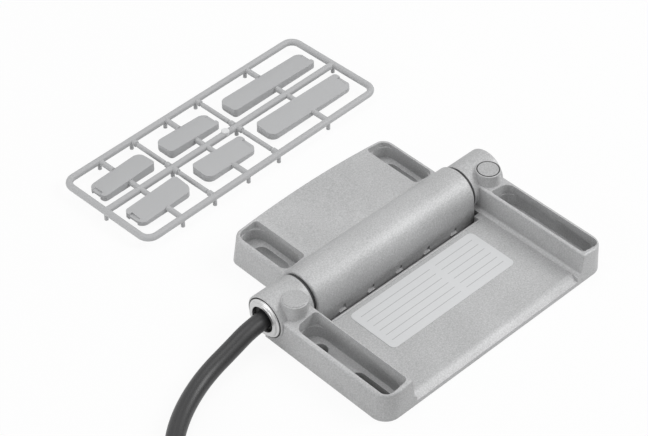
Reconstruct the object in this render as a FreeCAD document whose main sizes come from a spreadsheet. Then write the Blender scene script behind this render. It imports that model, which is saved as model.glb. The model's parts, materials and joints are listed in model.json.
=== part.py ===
import FreeCAD, Part
import math
import os
import Sketcher
from types import SimpleNamespace

# Safety hinge switch, in millimetres.
# X runs along the hinge axis, away from the cable. The switch leaf lies towards -Y and the
# door leaf towards +Y. Z = 0 is the face that both leaves are screwed down on, and the origin
# lies midway between the two round fixing holes of the switch leaf.

SIZES = {
    # Switch leaf casting
    "leaf_length": "106",
    "leaf_reach": "55.6",
    "leaf_draft": "0.9",
    "plate_thickness": "3.6",
    "plate_setback": "12.9",
    "plate_bevel": "2.4",
    "plate_bevel_drop": "1.9",
    "plate_lip": "0.6",
    "block_slope": "0.8",
    "crest_height": "12.9",
    "rim_height": "10.9",
    "foot_fillet": "1.5",
    "leaf_corner": "6",
    "rim_fillet": "0.8",
    # Hinge line
    "axis_setback": "19",
    "axis_height": "8.6",
    "barrel_radius": "9",
    "knuckle_step": "0.8",
    "knuckle_rounding": "0.5",
    "knuckle_length": "14.4",
    "end_gap": "1.2",
    "barrel_underside": "0.3",
    "barrel_chamfer": "0.4",
    "wall_lean": "0.7",
    # Locking bosses on the knuckles
    "boss_inset": "7.1",
    "boss_setback": "6.8",
    "boss_radius": "4.5",
    "boss_top": "17.2",
    "boss_rounding": "0.3",
    "plug_radius": "3.9",
    "plug_thickness": "1.6",
    "lock_pin_radius": "2",
    "lock_pin_foot": "2.5",
    # Screw pockets of both leaves
    "pocket_width": "9.2",
    "pocket_floor": "3",
    "seat_height": "7.5",
    "seat_rounding": "3",
    "seat_inner_rounding": "1.5",
    "fixing_radius": "2.75",
    "hole_inset": "6.7",
    "pocket_setback": "12.1",
    "pocket_wall": "1.5",
    "slot_inset": "2.1",
    "slot_length": "18",
    "door_pocket_inset": "6.6",
    "door_pocket_setback": "8.8",
    "door_pocket_wall": "2.6",
    "door_pocket_floor": "5.8",
    "door_seat_height": "10.2",
    "door_slot_length": "15",
    # Door leaf casting
    "door_inset": "0.3",
    "door_reach": "35.7",
    "door_draft": "0.5",
    "door_lean": "1.7",
    "crown_height": "14.3",
    "shoulder_height": "11.6",
    "door_corner": "4",
    "door_rim_fillet": "0.7",
    # Bore, bearings and axles
    "bore_radius": "7.5",
    "axle_radius": "5.5",
    "axle_bore": "3.8",
    "axle_chamfer": "0.4",
    "axle_overhang": "14.5",
    "axle_depth": "12",
    "bush_length": "5.5",
    "seal_length": "1.6",
    "washer_radius": "7.9",
    "running_clearance": "0.05",
    "seat_clearance": "0.03",
    "washer_clearance": "0.1",
    # Underside cover of the barrel
    "cover_inset": "6.4",
    "cover_thickness": "1.2",
    "cover_back": "4",
    "cover_upstand": "0.9",
    "cover_clearance": "0.1",
    "barrel_wall": "1.1",
    "window_margin": "4.3",
    "window_width": "3",
    "window_sill": "1.5",
    "window_height": "1.5",
    "nose_recess": "0.1",
    # Cable gland
    "gland_radius": "7.4",
    "gland_depth": "4.5",
    "gland_gap": "0.25",
    "gland_hole": "5.4",
    "gland_rounding": "0.7",
    "gland_proud": "1",
    "cable_radius": "3.2",
    "cable_seal_recess": "1.2",
    "clamp_length": "2",
    # Switch insert
    "carrier_radius": "5",
    "carrier_bore": "3.4",
    "cavity_length": "8",
    "cavity_width": "6",
    "cavity_top": "2.4",
    "lid_bottom": "4",
    "lid_thickness": "1",
    "nc_place": "-10",
    "no_place": "8",
    "cam_width": "5",
    "cam_rest_radius": "6.9",
    "plunger_radius": "0.9",
    "plunger_travel": "1.2",
    "plunger_foot": "0.6",
    "plunger_waist": "0.6",
    "tip_clearance": "0.1",
    "bridge_length": "5.2",
    "bridge_width": "2.6",
    "bridge_thickness": "0.5",
    "contact_gap": "0.1",
    "contact_width": "2",
    "contact_inset": "1.25",
    "contact_thickness": "0.5",
    "spring_radius": "0.85",
    "spring_wire": "0.14",
    "wire_radius": "0.4",
    "wire_spread": "1.9",
    # Blank rating label
    "label_inset": "9.3",
    "label_width": "21",
    "label_setback": "25.4",
    "label_corner": "2",
    "label_thickness": "0.12",
    # Screw covers on their moulding frame
    "frame_offset_x": "2.5",
    "frame_offset_y": "82.1",
    "frame_turn": "2.1",
    "near_end_room": "4.05",
    "near_cross_before": "3.3",
    "near_cross_after": "4.4",
    "far_cross_before": "3.1",
    "far_cross_after": "4.6",
    "far_end_room": "4.05",
    "side_room": "7.55",
    "middle_room": "5.05",
    "frame_corner": "4",
    "runner_radius": "1.3",
    "runner_height": "3.8",
    "cross_radius": "0.8",
    "gate_radius": "1.05",
    "foot_radius": "0.75",
    "cap_bottom": "2.1",
    "cap_thick": "3.6",
    "cap_thin": "2.7",
    "cap_taper": "1",
    "cap_clearance": "0.05",
    "notch_width": "4.2",
    "notch_depth": "1.5",
    "tab_under": "0.9",
    "tab_top": "1.75",
    # Cable, its put-away coil and its bare end
    "jacket_depth": "7",
    "straight_exit": "5",
    "coil_middle_x": "-72",
    "coil_middle_y": "-130.5",
    "coil_outer": "51.6",
    "coil_inner": "21",
    "coil_height": "19.2",
    "coil_lift": "1.2",
    "tie_width": "4.4",
    "tie_thickness": "1",
    "tie_clearance": "0.2",
    "end_row": "36",
    "end_length": "22",
    "end_start": "26",
    "core_radius": "0.55",
    "core_length": "22",
    "ferrule_radius": "0.7",
    "ferrule_length": "8",
    # How far a cutting shape reaches past the faces that it opens
    "cut_margin": "1",
}
# The cable's route from the straight piece at the gland to the coil: x, y and z of each corner.
CABLE_ROUTE = [
    (-69.5, 17.8, 6.1),
    (-79.5, 16.7, 4.4),
    (-89.0, 13.8, 3.5),
    (-98.5, 9.0, 3.3),
    (-107.5, 2.2, 3.3),
    (-114.5, -7.0, 3.3),
    (-118.6, -18.0, 3.3),
    (-120.2, -31.0, 3.3),
    (-120.4, -52.0, 3.5),
    (-120.4, -76.0, 3.8),
    (-120.4, -102.0, 4.1),
    (-120.4, -128.8, 4.4),
]
# Share of the shorter run that an arc takes up on each side of a corner.
ARC_SHARE = 0.45
WINDOW_COUNT = 5
CORE_COUNT = 4
SPRING_TURNS = 3
# Straight runs in each turn of a spring.
SPRING_STEPS = 12
# The way of sweeping that meets at sharp mitred corners.
MITRED = 1
# The hinge's travel in degrees, and how far each cam's spiral runs on past both ends of it.
HINGE_TRAVEL = 180.0
CAM_RUN_ON = 8.0
CAM_POINTS = 25
# An edge counts as lying on a line within TOUCH, as near one within NEAR, and as upright when
# its direction has at least the share UPRIGHT along Z.
TOUCH = 1e-4
NEAR = 0.2
UPRIGHT = 0.5


class Size:
    """A length together with the sheet formula that gives it."""

    def __init__(self, value, formula):
        self.value = float(value)
        self.formula = formula

    def __add__(self, other):
        return Size(self.value + number(other), f"({self.formula} + {formula(other)})")

    def __radd__(self, other):
        return Size(number(other) + self.value, f"({formula(other)} + {self.formula})")

    def __sub__(self, other):
        return Size(self.value - number(other), f"({self.formula} - {formula(other)})")

    def __rsub__(self, other):
        return Size(number(other) - self.value, f"({formula(other)} - {self.formula})")

    def __mul__(self, other):
        return Size(self.value * number(other), f"({self.formula} * {formula(other)})")

    __rmul__ = __mul__

    def __truediv__(self, other):
        return Size(self.value / number(other), f"({self.formula} / {formula(other)})")

    def __neg__(self):
        return Size(-self.value, f"(0 - {self.formula})")


def number(size):
    """The value of a size or of a plain number."""
    return size.value if isinstance(size, Size) else float(size)


def formula(size):
    """The sheet formula of a size, or a plain number as text."""
    return size.formula if isinstance(size, Size) else repr(float(size))


doc = FreeCAD.newDocument("safety_hinge_switch")
sheet = doc.addObject("Spreadsheet::Sheet", "sizes")
for row, (alias, text) in enumerate(SIZES.items(), start=1):
    sheet.set(f"A{row}", alias)
    sheet.set(f"B{row}", text)
    sheet.setAlias(f"B{row}", alias)
doc.recompute()
s = SimpleNamespace(**{alias: Size(sheet.get(alias), f"sizes.{alias}") for alias in SIZES})
nodes = []


def bind(item, **sizes):
    """Tie properties of an object to sheet formulas; a double underscore stands for a dot."""
    for name, size in sizes.items():
        item.setExpression(name.replace("__", "."), formula(size))


def place(item, x, y, z):
    """Tie an object's position to the sheet."""
    bind(item, Placement__Base__x=x, Placement__Base__y=y, Placement__Base__z=z)


def node(item, label):
    """Name a finished piece and keep it for writing."""
    item.Label = label
    nodes.append(item)
    return item


class Drawing:
    """A sketch on one of a body's origin planes with every point tied to the sheet."""

    def __init__(self, body, plane, at=(0, 0, 0)):
        self.sketch = body.newObject("Sketcher::SketchObject", "profile")
        support = next(item for item in body.Origin.OriginFeatures if item.Role == plane)
        self.sketch.AttachmentSupport = [(support, "")]
        self.sketch.MapMode = "FlatFace"
        for axis, offset in zip("xyz", at):
            self.sketch.setExpression(f"AttachmentOffset.Base.{axis}", formula(offset))

    def tie(self, kind, *terms, size):
        """Add one dimension and bind it to the sheet."""
        index = self.sketch.addConstraint(Sketcher.Constraint(kind, *terms, number(size)))
        self.sketch.setExpression(f"Constraints[{index}]", formula(size))

    def circle(self, x, y, radius):
        """Draw one circle."""
        middle = FreeCAD.Vector(number(x), number(y), 0)
        curve = self.sketch.addGeometry(Part.Circle(middle, FreeCAD.Vector(0, 0, 1), number(radius)))
        self.tie("DistanceX", -1, 1, curve, 3, size=x)
        self.tie("DistanceY", -1, 1, curve, 3, size=y)
        self.tie("Radius", curve, size=radius)
        return self

    def outline(self, points):
        """Draw a closed outline; a third value on a point is the radius of the arc leading to it.

        A positive radius bulges to the right of the way round, a negative one to the left.
        """
        corners = [FreeCAD.Vector(number(p[0]), number(p[1]), 0) for p in points]
        curves = []
        for index, point in enumerate(points):
            start = corners[index - 1]
            end = corners[index]
            if len(point) == 2:
                curves.append((self.sketch.addGeometry(Part.LineSegment(start, end)), 1, 2))
                continue
            radius = number(point[2])
            curve = self.sketch.addGeometry(arc_between(start, end, radius))
            ends = (1, 2) if radius > 0 else (2, 1)
            curves.append((curve, *ends))
            self.tie("Radius", curve, size=point[2] if radius > 0 else -point[2])
        for index, (curve, start, end) in enumerate(curves):
            following = curves[(index + 1) % len(curves)]
            self.sketch.addConstraint(Sketcher.Constraint("Coincident", curve, end, *following[:2]))
            self.tie("DistanceX", -1, 1, curve, end, size=points[index][0])
            self.tie("DistanceY", -1, 1, curve, end, size=points[index][1])
        return self


def arc_between(start, end, radius):
    """The smaller arc of a radius from start to end, turning left where the radius is positive."""
    chord = end - start
    middle = (start + end) / 2
    left = FreeCAD.Vector(-chord.y, chord.x, 0).normalize()
    reach = math.sqrt(max(radius * radius - (chord.Length / 2) ** 2, 0.0))
    centre = middle + left * math.copysign(reach, radius)
    through = centre + (middle - centre).normalize() * abs(radius)
    arc = Part.Arc(start, through, end) if radius > 0 else Part.Arc(end, through, start)
    return arc


def oblong(x0, x1, y0, y1, radius):
    """Points of a rectangle with four rounded corners."""
    return [
        (x1 - radius, y0),
        (x1, y0 + radius, radius),
        (x1, y1 - radius),
        (x1 - radius, y1, radius),
        (x0 + radius, y1),
        (x0, y1 - radius, radius),
        (x0, y0 + radius),
        (x0 + radius, y0, radius),
    ]


def stadium(x, y0, y1, radius):
    """Points of a slot along Y with round ends."""
    return [
        (x + radius, y0 + radius, radius),
        (x + radius, y1 - radius),
        (x, y1, radius),
        (x - radius, y1 - radius, radius),
        (x - radius, y0 + radius),
        (x, y0, radius),
    ]


def rectangle(x0, x1, y0, y1):
    """Corners of a plain rectangle."""
    return [(x0, y0), (x1, y0), (x1, y1), (x0, y1)]


def new_body(name):
    """An empty body."""
    return doc.addObject("PartDesign::Body", name)


def pad(body, drawing, length):
    """Raise a drawing along its own normal."""
    feature = body.newObject("PartDesign::Pad", "pad")
    feature.Profile = drawing.sketch
    bind(feature, Length=length)
    return feature


def turn(body, drawing, axis):
    """Turn a drawing about one of its own axes."""
    feature = body.newObject("PartDesign::Revolution", "turned")
    feature.Profile = drawing.sketch
    feature.ReferenceAxis = (drawing.sketch, [axis])
    feature.Angle = 360
    return feature


def is_upright(edge):
    """Whether an edge starts off upwards or downwards."""
    return abs(edge.tangentAt(edge.FirstParameter).z) > UPRIGHT


def dress(body, base, kind, test, **sizes):
    """Round or bevel the edges of a feature whose middle passes a test."""
    doc.recompute()
    chosen = []
    for index, edge in enumerate(base.Shape.Edges, start=1):
        middle = edge.valueAt((edge.FirstParameter + edge.LastParameter) / 2)
        if test(middle, edge):
            chosen.append(f"Edge{index}")
    feature = body.newObject(f"PartDesign::{kind}", kind.lower())
    feature.Base = (base, chosen)
    bind(feature, **sizes)
    return feature


def turned_on_axis(name, points):
    """A body turned about the hinge axis from points of place along X and radius."""
    body = new_body(name)
    drawing = Drawing(body, "XY_Plane", (0, s.axis_setback, s.axis_height))
    turn(body, drawing.outline(points), "H_Axis")
    return body


def ring(name, x0, x1, inner, outer):
    """A plain ring about the hinge axis."""
    return turned_on_axis(name, rectangle(x0, x1, inner, outer))


def turned_upright(name, x, y, points):
    """A body turned about an upright axis from points of radius and height."""
    body = new_body(name)
    drawing = Drawing(body, "XZ_Plane", (x, 0, -y))
    turn(body, drawing.outline(points), "V_Axis")
    return body


def cylinder(name, radius, length, x, y, z, direction):
    """A cylinder that starts at a point and runs along a direction."""
    item = doc.addObject("Part::Cylinder", name)
    bind(item, Radius=radius, Height=length)
    item.Placement.Rotation = FreeCAD.Rotation(FreeCAD.Vector(0, 0, 1), FreeCAD.Vector(*direction))
    place(item, x, y, z)
    return item


def box(name, x0, x1, y0, y1, z0, z1):
    """A box between two corners."""
    item = doc.addObject("Part::Box", name)
    bind(item, Length=x1 - x0, Width=y1 - y0, Height=z1 - z0)
    place(item, x0, y0, z0)
    return item


def mirrored(item):
    """The same shape on the other side of the middle plane."""
    copy = doc.addObject("Part::Mirroring", f"{item.Name}_mirrored")
    copy.Source = item
    copy.Normal = FreeCAD.Vector(1, 0, 0)
    return copy


def fused(name, items):
    """Several shapes as one solid."""
    item = doc.addObject("Part::MultiFuse", name)
    item.Shapes = items
    item.Refine = True
    return item


def cut(name, base, tools):
    """One shape less several others."""
    item = doc.addObject("Part::Cut", name)
    item.Base = base
    item.Tool = tools[0] if len(tools) == 1 else fused(f"{name}_tools", tools)
    item.Refine = True
    return item


def group(name, items):
    """Several separate solids as one piece."""
    item = doc.addObject("Part::Compound", name)
    item.Links = items
    return item


X_WAY = (1, 0, 0)
Y_WAY = (0, 1, 0)
Z_WAY = (0, 0, 1)
half_length = s.leaf_length / 2
knuckle_face = half_length - s.knuckle_length
half_barrel = knuckle_face - s.end_gap
block_foot = knuckle_face + s.foot_fillet
leaf_front = s.axis_setback - s.leaf_reach
plate_back = s.axis_setback - s.plate_setback
above_all = s.axis_height + s.barrel_radius + s.cut_margin
boss_place = half_length - s.boss_inset
boss_line = s.axis_setback - s.boss_setback


def rounded_room(name, x0, x1, y0, y1, z0, z1, inner, outer, along_x):
    """An upright room with two corners of the seat's rounding, on its outer edge, and two smaller ones."""
    body = new_body(name)
    base = Drawing(body, "XY_Plane", (0, 0, z0))
    base.outline(rectangle(x0, x1, y0, y1))
    raised = pad(body, base, z1 - z0)

    def on_line(line):
        def chosen(middle, edge):
            across = middle.y if along_x else middle.x
            return abs(across - number(line)) < TOUCH and is_upright(edge)
        return chosen

    rounded = dress(body, raised, "Fillet", on_line(outer), Radius=s.seat_rounding)
    dress(body, rounded, "Fillet", on_line(inner), Radius=s.seat_inner_rounding)
    return body


def pocket_cutter(name, x, start, length, floor, seat_height, slot_middle, slot_length, hole):
    """The room taken out of a leaf at one screw pocket: cover seat, well, slot and round hole."""
    half = s.pocket_width / 2
    left = x - half
    right = x + half
    body = rounded_room(
        name, left, right, start, start + length, seat_height, above_all, left, right, False
    )
    well = Drawing(body, "XY_Plane", (0, 0, floor))
    well.outline(stadium(x, start, start + length, half))
    pad(body, well, seat_height - floor)
    through = Drawing(body, "XY_Plane", (0, 0, -s.cut_margin))
    low = slot_middle - slot_length / 2
    through.outline(stadium(x, low, low + slot_length, s.fixing_radius))
    pad(body, through, floor + s.cut_margin)
    if hole is not None:
        drilled = Drawing(body, "XY_Plane", (0, 0, -s.cut_margin))
        drilled.circle(x, hole, s.fixing_radius)
        pad(body, drilled, floor + s.cut_margin)
    return body


def leaf_block():
    """The raised block along one end of the switch leaf, with its cast edges rounded."""
    crest = block_foot + s.block_slope
    rim = half_length - s.leaf_draft
    body = new_body("leaf_block")
    section = Drawing(body, "XZ_Plane", (0, 0, -s.axis_setback))
    section.outline([
        (knuckle_face, 0),
        (half_length, 0),
        (rim, s.rim_height),
        (crest, s.crest_height),
        (block_foot, s.plate_thickness + s.foot_fillet),
        (knuckle_face, s.plate_thickness, -s.foot_fillet),
    ])
    raised = pad(body, section, s.leaf_reach)
    front = leaf_front.value
    outside = (rim.value + half_length.value) / 2

    def at_front_corner(middle, edge):
        return abs(middle.y - front) < TOUCH and abs(middle.x - outside) < NEAR

    rounded = dress(body, raised, "Fillet", at_front_corner, Radius=s.leaf_corner)

    def at_top(middle, edge):
        high = middle.z > s.rim_height.value - NEAR
        return high and middle.y < plate_back.value and not is_upright(edge)

    dress(body, rounded, "Fillet", at_top, Radius=s.rim_fillet)
    return body


def leaf_plate():
    """The low plate between the blocks, bevelled in front and rounded towards the barrel."""
    body = new_body("leaf_plate")
    section = Drawing(body, "YZ_Plane", (0, 0, -block_foot))
    section.outline([
        (leaf_front, 0),
        (plate_back, 0),
        (plate_back, s.plate_thickness - s.plate_lip),
        (plate_back - s.plate_lip, s.plate_thickness, s.plate_lip),
        (leaf_front + s.plate_bevel, s.plate_thickness),
        (leaf_front, s.plate_thickness - s.plate_bevel_drop),
    ])
    pad(body, section, block_foot * 2)
    return body


def knuckle():
    """One end knuckle of the hinge, rounded at its outer end."""
    inner = half_length - s.knuckle_rounding
    radius = s.barrel_radius - s.knuckle_step
    return turned_on_axis("knuckle", [
        (knuckle_face, 0),
        (half_length, 0),
        (half_length, radius - s.knuckle_rounding),
        (inner, radius, s.knuckle_rounding),
        (knuckle_face, radius),
    ])


def boss():
    """The upright round boss over one axle lock."""
    return turned_upright("boss", boss_place, boss_line, [
        (0, s.plate_thickness),
        (s.boss_radius, s.plate_thickness),
        (s.boss_radius, s.boss_top - s.boss_rounding),
        (s.boss_radius - s.boss_rounding, s.boss_top, s.boss_rounding),
        (0, s.boss_top),
    ])


def boss_bore():
    """The stepped bore down one boss for its lock pin and plug."""
    pin = s.lock_pin_radius + s.seat_clearance
    plug = s.plug_radius + s.seat_clearance
    step = s.boss_top - s.plug_thickness
    return turned_upright("boss_bore", boss_place, boss_line, [
        (0, s.lock_pin_foot),
        (pin, s.lock_pin_foot),
        (pin, step),
        (plug, step),
        (plug, s.boss_top + s.cut_margin),
        (0, s.boss_top + s.cut_margin),
    ])


# Switch leaf
axle_hole = s.axle_radius + s.seat_clearance
axle_end = knuckle_face + s.axle_depth
axle_start = knuckle_face - s.axle_overhang
gland_floor = -half_length + s.gland_depth
solid_halves = [leaf_block(), knuckle(), boss()]
pocket_length = s.leaf_reach - s.pocket_wall - s.pocket_setback
pocket_front = leaf_front + s.pocket_wall
leaf_cutter = pocket_cutter(
    "leaf_pocket",
    half_length - s.hole_inset,
    pocket_front,
    pocket_length,
    s.pocket_floor,
    s.seat_height,
    pocket_front + s.slot_inset + s.slot_length / 2,
    s.slot_length,
    0,
)
bores = boss_bore()
leaf_solid = fused(
    "leaf_solid",
    [leaf_plate()] + solid_halves + [mirrored(item) for item in solid_halves],
)
cable_bore = turned_on_axis("cable_bore", [
    (-half_length - s.cut_margin, 0),
    (-knuckle_face + s.cut_margin, 0),
    (-knuckle_face + s.cut_margin, axle_hole),
    (gland_floor, axle_hole),
    (gland_floor, s.gland_radius),
    (-half_length - s.cut_margin, s.gland_radius),
])
blind_bore = turned_on_axis("blind_bore", rectangle(knuckle_face - s.cut_margin, axle_end, 0, axle_hole))
leaf_tools = [leaf_cutter, mirrored(leaf_cutter), bores, mirrored(bores), cable_bore, blind_bore]
node(cut("switch_leaf", leaf_solid, leaf_tools), "switch_leaf")


def lock_notch(name, x):
    """The room that a lock pin takes out of an axle."""
    radius = s.lock_pin_radius + s.seat_clearance
    length = s.boss_top - s.lock_pin_foot
    return cylinder(name, radius, length, x, boss_line, s.lock_pin_foot, Z_WAY)


# Axles, held in the knuckles by the lock pins
hollow = turned_on_axis("hollow_axle_blank", [
    (gland_floor, s.axle_bore),
    (-axle_start, s.axle_bore),
    (-axle_start, s.axle_radius - s.axle_chamfer),
    (-axle_start - s.axle_chamfer, s.axle_radius),
    (gland_floor, s.axle_radius),
])
node(cut("hollow_axle", hollow, [lock_notch("hollow_axle_notch", -boss_place)]), "hollow_axle")
stub = turned_on_axis("stub_axle_blank", [
    (axle_start, 0),
    (axle_end, 0),
    (axle_end, s.axle_radius),
    (axle_start + s.axle_chamfer, s.axle_radius),
    (axle_start, s.axle_radius - s.axle_chamfer),
])
node(cut("stub_axle", stub, [lock_notch("stub_axle_notch", boss_place)]), "stub_axle")
lock_pin = turned_upright("lock_pin", boss_place, boss_line, [
    (0, s.lock_pin_foot),
    (s.lock_pin_radius, s.lock_pin_foot),
    (s.lock_pin_radius, s.boss_top - s.plug_thickness),
    (0, s.boss_top - s.plug_thickness),
])
node(group("axle_lock_pins", [lock_pin, mirrored(lock_pin)]), "axle_lock_pins")
plug = turned_upright("boss_plug", boss_place, boss_line, [
    (0, s.boss_top - s.plug_thickness),
    (s.plug_radius, s.boss_top - s.plug_thickness),
    (s.plug_radius, s.boss_top - s.axle_chamfer),
    (s.plug_radius - s.axle_chamfer, s.boss_top),
    (0, s.boss_top),
])
node(group("boss_plugs", [plug, mirrored(plug)]), "boss_plugs")

# Cable gland in the left knuckle
ring_outer = s.gland_radius - s.gland_gap
cable_hole = s.cable_radius + s.running_clearance
gland_face = -half_length - s.gland_proud
node(turned_on_axis("gland_ring", [
    (gland_face, s.gland_hole),
    (gland_floor, s.gland_hole),
    (gland_floor, ring_outer),
    (gland_face + s.gland_rounding, ring_outer),
    (gland_face, ring_outer - s.gland_rounding, -s.gland_rounding),
]), "gland_ring")
seal_outer = s.gland_hole - s.seat_clearance
seal_face = gland_face + s.cable_seal_recess
node(ring("cable_seal", seal_face, gland_floor, cable_hole, seal_outer), "cable_seal")
clamp_outer = s.axle_bore - s.seat_clearance
clamp_end = gland_floor + s.clamp_length
node(ring("cable_clamp", gland_floor, clamp_end, cable_hole, clamp_outer), "cable_clamp")


door_half = half_barrel - s.door_inset


def crowned_section(body):
    """The door leaf's section: drafted sides under a crowned top."""
    top = door_half - s.door_draft
    rise = s.crown_height - s.shoulder_height
    crown = (top * top + rise * rise) / (rise * 2)
    section = Drawing(body, "XZ_Plane", (0, 0, -s.axis_setback - s.door_reach - s.cut_margin))
    section.outline([
        (-door_half, 0),
        (door_half, 0),
        (top, s.shoulder_height),
        (0, s.crown_height, crown),
        (-top, s.shoulder_height, crown),
    ])
    return section


def door_plate():
    """The door leaf's own plate, without the barrel."""
    body = new_body("door_plate")
    pad(body, crowned_section(body), s.door_reach + s.cut_margin)
    far_face = s.axis_setback + s.door_reach
    beyond = far_face + s.cut_margin * 2
    lean = Drawing(body, "YZ_Plane", (0, 0, door_half + s.cut_margin))
    lean.outline([
        (far_face + s.door_lean * s.cut_margin / s.crown_height, -s.cut_margin),
        (beyond, -s.cut_margin),
        (beyond, s.crown_height * 2),
        (far_face - s.door_lean * 2, s.crown_height * 2),
    ])
    leaning = body.newObject("PartDesign::Pocket", "lean")
    leaning.Profile = lean.sketch
    bind(leaning, Length=(door_half + s.cut_margin) * 2)
    far = far_face.value
    side = (door_half - s.door_draft).value

    def at_far_corner(middle, edge):
        return is_upright(edge) and middle.y > far - s.door_corner.value

    rounded = dress(body, leaning, "Fillet", at_far_corner, Radius=s.door_corner)

    def at_rim(middle, edge):
        high = middle.z > s.shoulder_height.value - NEAR
        near_edge = abs(middle.x) > side - s.door_corner.value or middle.y > far - s.door_corner.value
        clear_of_barrel = middle.y > s.axis_setback.value + NEAR
        return high and near_edge and clear_of_barrel and not is_upright(edge)

    dress(body, rounded, "Fillet", at_rim, Radius=s.door_rim_fillet)
    return body


def barrel():
    """The door leaf's middle barrel: round above the axis, square below it."""
    body = new_body("barrel")
    section = Drawing(body, "YZ_Plane", (s.axis_setback, 0, -half_barrel))
    section.outline([
        (-s.barrel_radius - s.wall_lean, s.barrel_underside),
        (s.barrel_radius, s.barrel_underside),
        (s.barrel_radius, s.axis_height),
        (0, s.axis_height + s.barrel_radius, s.barrel_radius),
        (-s.barrel_radius, s.axis_height, s.barrel_radius),
    ])
    raised = pad(body, section, half_barrel * 2)

    def at_end_arc(middle, edge):
        return isinstance(edge.Curve, Part.Circle)

    dress(body, raised, "Chamfer", at_end_arc, Size=s.barrel_chamfer)
    return body


half_cover = half_barrel - s.cover_inset


def window_place(index):
    """Where one latch window lies along the barrel."""
    pitch = (half_cover - s.window_margin) * 2 / (WINDOW_COUNT - 1)
    return pitch * (index - (WINDOW_COUNT - 1) / 2)


# Door leaf with the barrel that turns between the knuckles
wall_line = s.axis_setback - s.barrel_radius
upstand_line = wall_line + s.barrel_wall
cover_edge = s.axis_setback + s.cover_back
cover_top = s.barrel_underside + s.cover_thickness
door_pocket_length = s.door_reach - s.door_pocket_setback - s.door_pocket_wall
door_pocket_start = s.axis_setback + s.door_pocket_setback
door_cutter = pocket_cutter(
    "door_pocket",
    half_barrel - s.door_pocket_inset,
    door_pocket_start,
    door_pocket_length,
    s.door_pocket_floor,
    s.door_seat_height,
    door_pocket_start + door_pocket_length / 2,
    s.door_slot_length,
    None,
)
barrel_bore = ring("barrel_bore", -half_barrel - s.cut_margin, half_barrel + s.cut_margin, 0, s.bore_radius)
cover_room = box(
    "cover_room",
    -half_cover - s.cover_clearance,
    half_cover + s.cover_clearance,
    upstand_line,
    cover_edge + s.cover_clearance,
    s.barrel_underside - s.cut_margin,
    s.window_sill + s.window_height,
)
windows = []
for index in range(WINDOW_COUNT):
    middle = window_place(index)
    windows.append(box(
        f"window_{index}",
        middle - s.window_width / 2,
        middle + s.window_width / 2,
        wall_line - s.cut_margin,
        upstand_line + s.cut_margin,
        s.window_sill,
        s.window_sill + s.window_height,
    ))
door_solid = fused("door_solid", [door_plate(), barrel()])
door_tools = [door_cutter, mirrored(door_cutter), barrel_bore, cover_room] + windows
node(cut("door_leaf", door_solid, door_tools), "door_leaf")

# Snap-in strip that closes the barrel's underside
strip = box(
    "cover_strip",
    -half_cover,
    half_cover,
    upstand_line + s.cover_clearance,
    cover_edge,
    s.barrel_underside,
    cover_top,
)
upstand = box(
    "cover_front",
    -half_cover,
    half_cover,
    upstand_line + s.cover_clearance,
    upstand_line + s.cover_clearance + s.cover_upstand,
    s.barrel_underside,
    s.window_sill + s.window_height - s.cover_clearance,
)
noses = []
for index in range(WINDOW_COUNT):
    middle = window_place(index)
    noses.append(box(
        f"nose_{index}",
        middle - s.window_width / 2 + s.cover_clearance,
        middle + s.window_width / 2 - s.cover_clearance,
        wall_line + s.nose_recess,
        upstand_line + s.cover_upstand,
        s.window_sill + s.cover_clearance,
        s.window_sill + s.window_height - s.cover_clearance,
    ))
cover_blank = fused("cover_blank", [strip, upstand] + noses)
node(cut("barrel_cover", cover_blank, [ring(
    "cover_hollow",
    -half_barrel,
    half_barrel,
    0,
    s.bore_radius,
)]), "barrel_cover")

# Bearings and seals in the barrel's ends
fit_outer = s.bore_radius - s.seat_clearance
run_inner = s.axle_radius + s.running_clearance
seal_start = half_barrel - s.seal_length
bush = ring("bush", seal_start - s.bush_length, seal_start, run_inner, fit_outer)
node(group("bearing_bushes", [bush, mirrored(bush)]), "bearing_bushes")
shaft_seal = ring("shaft_seal", seal_start, half_barrel, run_inner, fit_outer)
node(group("shaft_seals", [shaft_seal, mirrored(shaft_seal)]), "shaft_seals")
washer = ring(
    "washer",
    half_barrel,
    knuckle_face - s.washer_clearance,
    run_inner,
    s.washer_radius,
)
node(group("thrust_washers", [washer, mirrored(washer)]), "thrust_washers")

# Switch insert: a carrier that stands still on the axles, inside the turning barrel
tip_height = s.axis_height + s.cam_rest_radius - s.tip_clearance
plunger_end = s.axis_height - s.plunger_foot
bridge_top = s.axis_height + s.bridge_thickness
contact_bottoms = {
    "nc": bridge_top + s.contact_gap,
    "no": s.axis_height - s.plunger_travel - s.contact_gap - s.contact_thickness,
}
wire_heights = {
    "nc": contact_bottoms["nc"] + s.contact_thickness + s.wire_radius,
    "no": contact_bottoms["no"] - s.wire_radius,
}
half_cavity = s.cavity_length / 2
lid_top = s.axis_height - s.lid_bottom + s.lid_thickness
places = {"nc": s.nc_place, "no": s.no_place}
carrier_tools = []
lids = []
for name, middle in places.items():
    carrier_tools.append(box(
        f"{name}_cavity",
        middle - half_cavity,
        middle + half_cavity,
        s.axis_setback - s.cavity_width / 2,
        s.axis_setback + s.cavity_width / 2,
        s.axis_height - s.carrier_radius - s.cut_margin,
        s.axis_height + s.cavity_top,
    ))
    carrier_tools.append(cylinder(
        f"{name}_plunger_hole",
        s.plunger_radius + s.running_clearance,
        s.carrier_radius,
        middle,
        s.axis_setback,
        s.axis_height + s.cavity_top - s.cut_margin,
        Z_WAY,
    ))
    lids.append(box(
        f"{name}_lid",
        middle - half_cavity + s.seat_clearance,
        middle + half_cavity - s.seat_clearance,
        s.axis_setback - s.cavity_width / 2 + s.seat_clearance,
        s.axis_setback + s.cavity_width / 2 - s.seat_clearance,
        s.axis_height - s.lid_bottom,
        lid_top,
    ))
carrier_tools.append(ring(
    "carrier_wire_bore",
    -axle_start - s.cut_margin,
    s.nc_place - half_cavity + s.cut_margin,
    0,
    s.carrier_bore,
))
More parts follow.
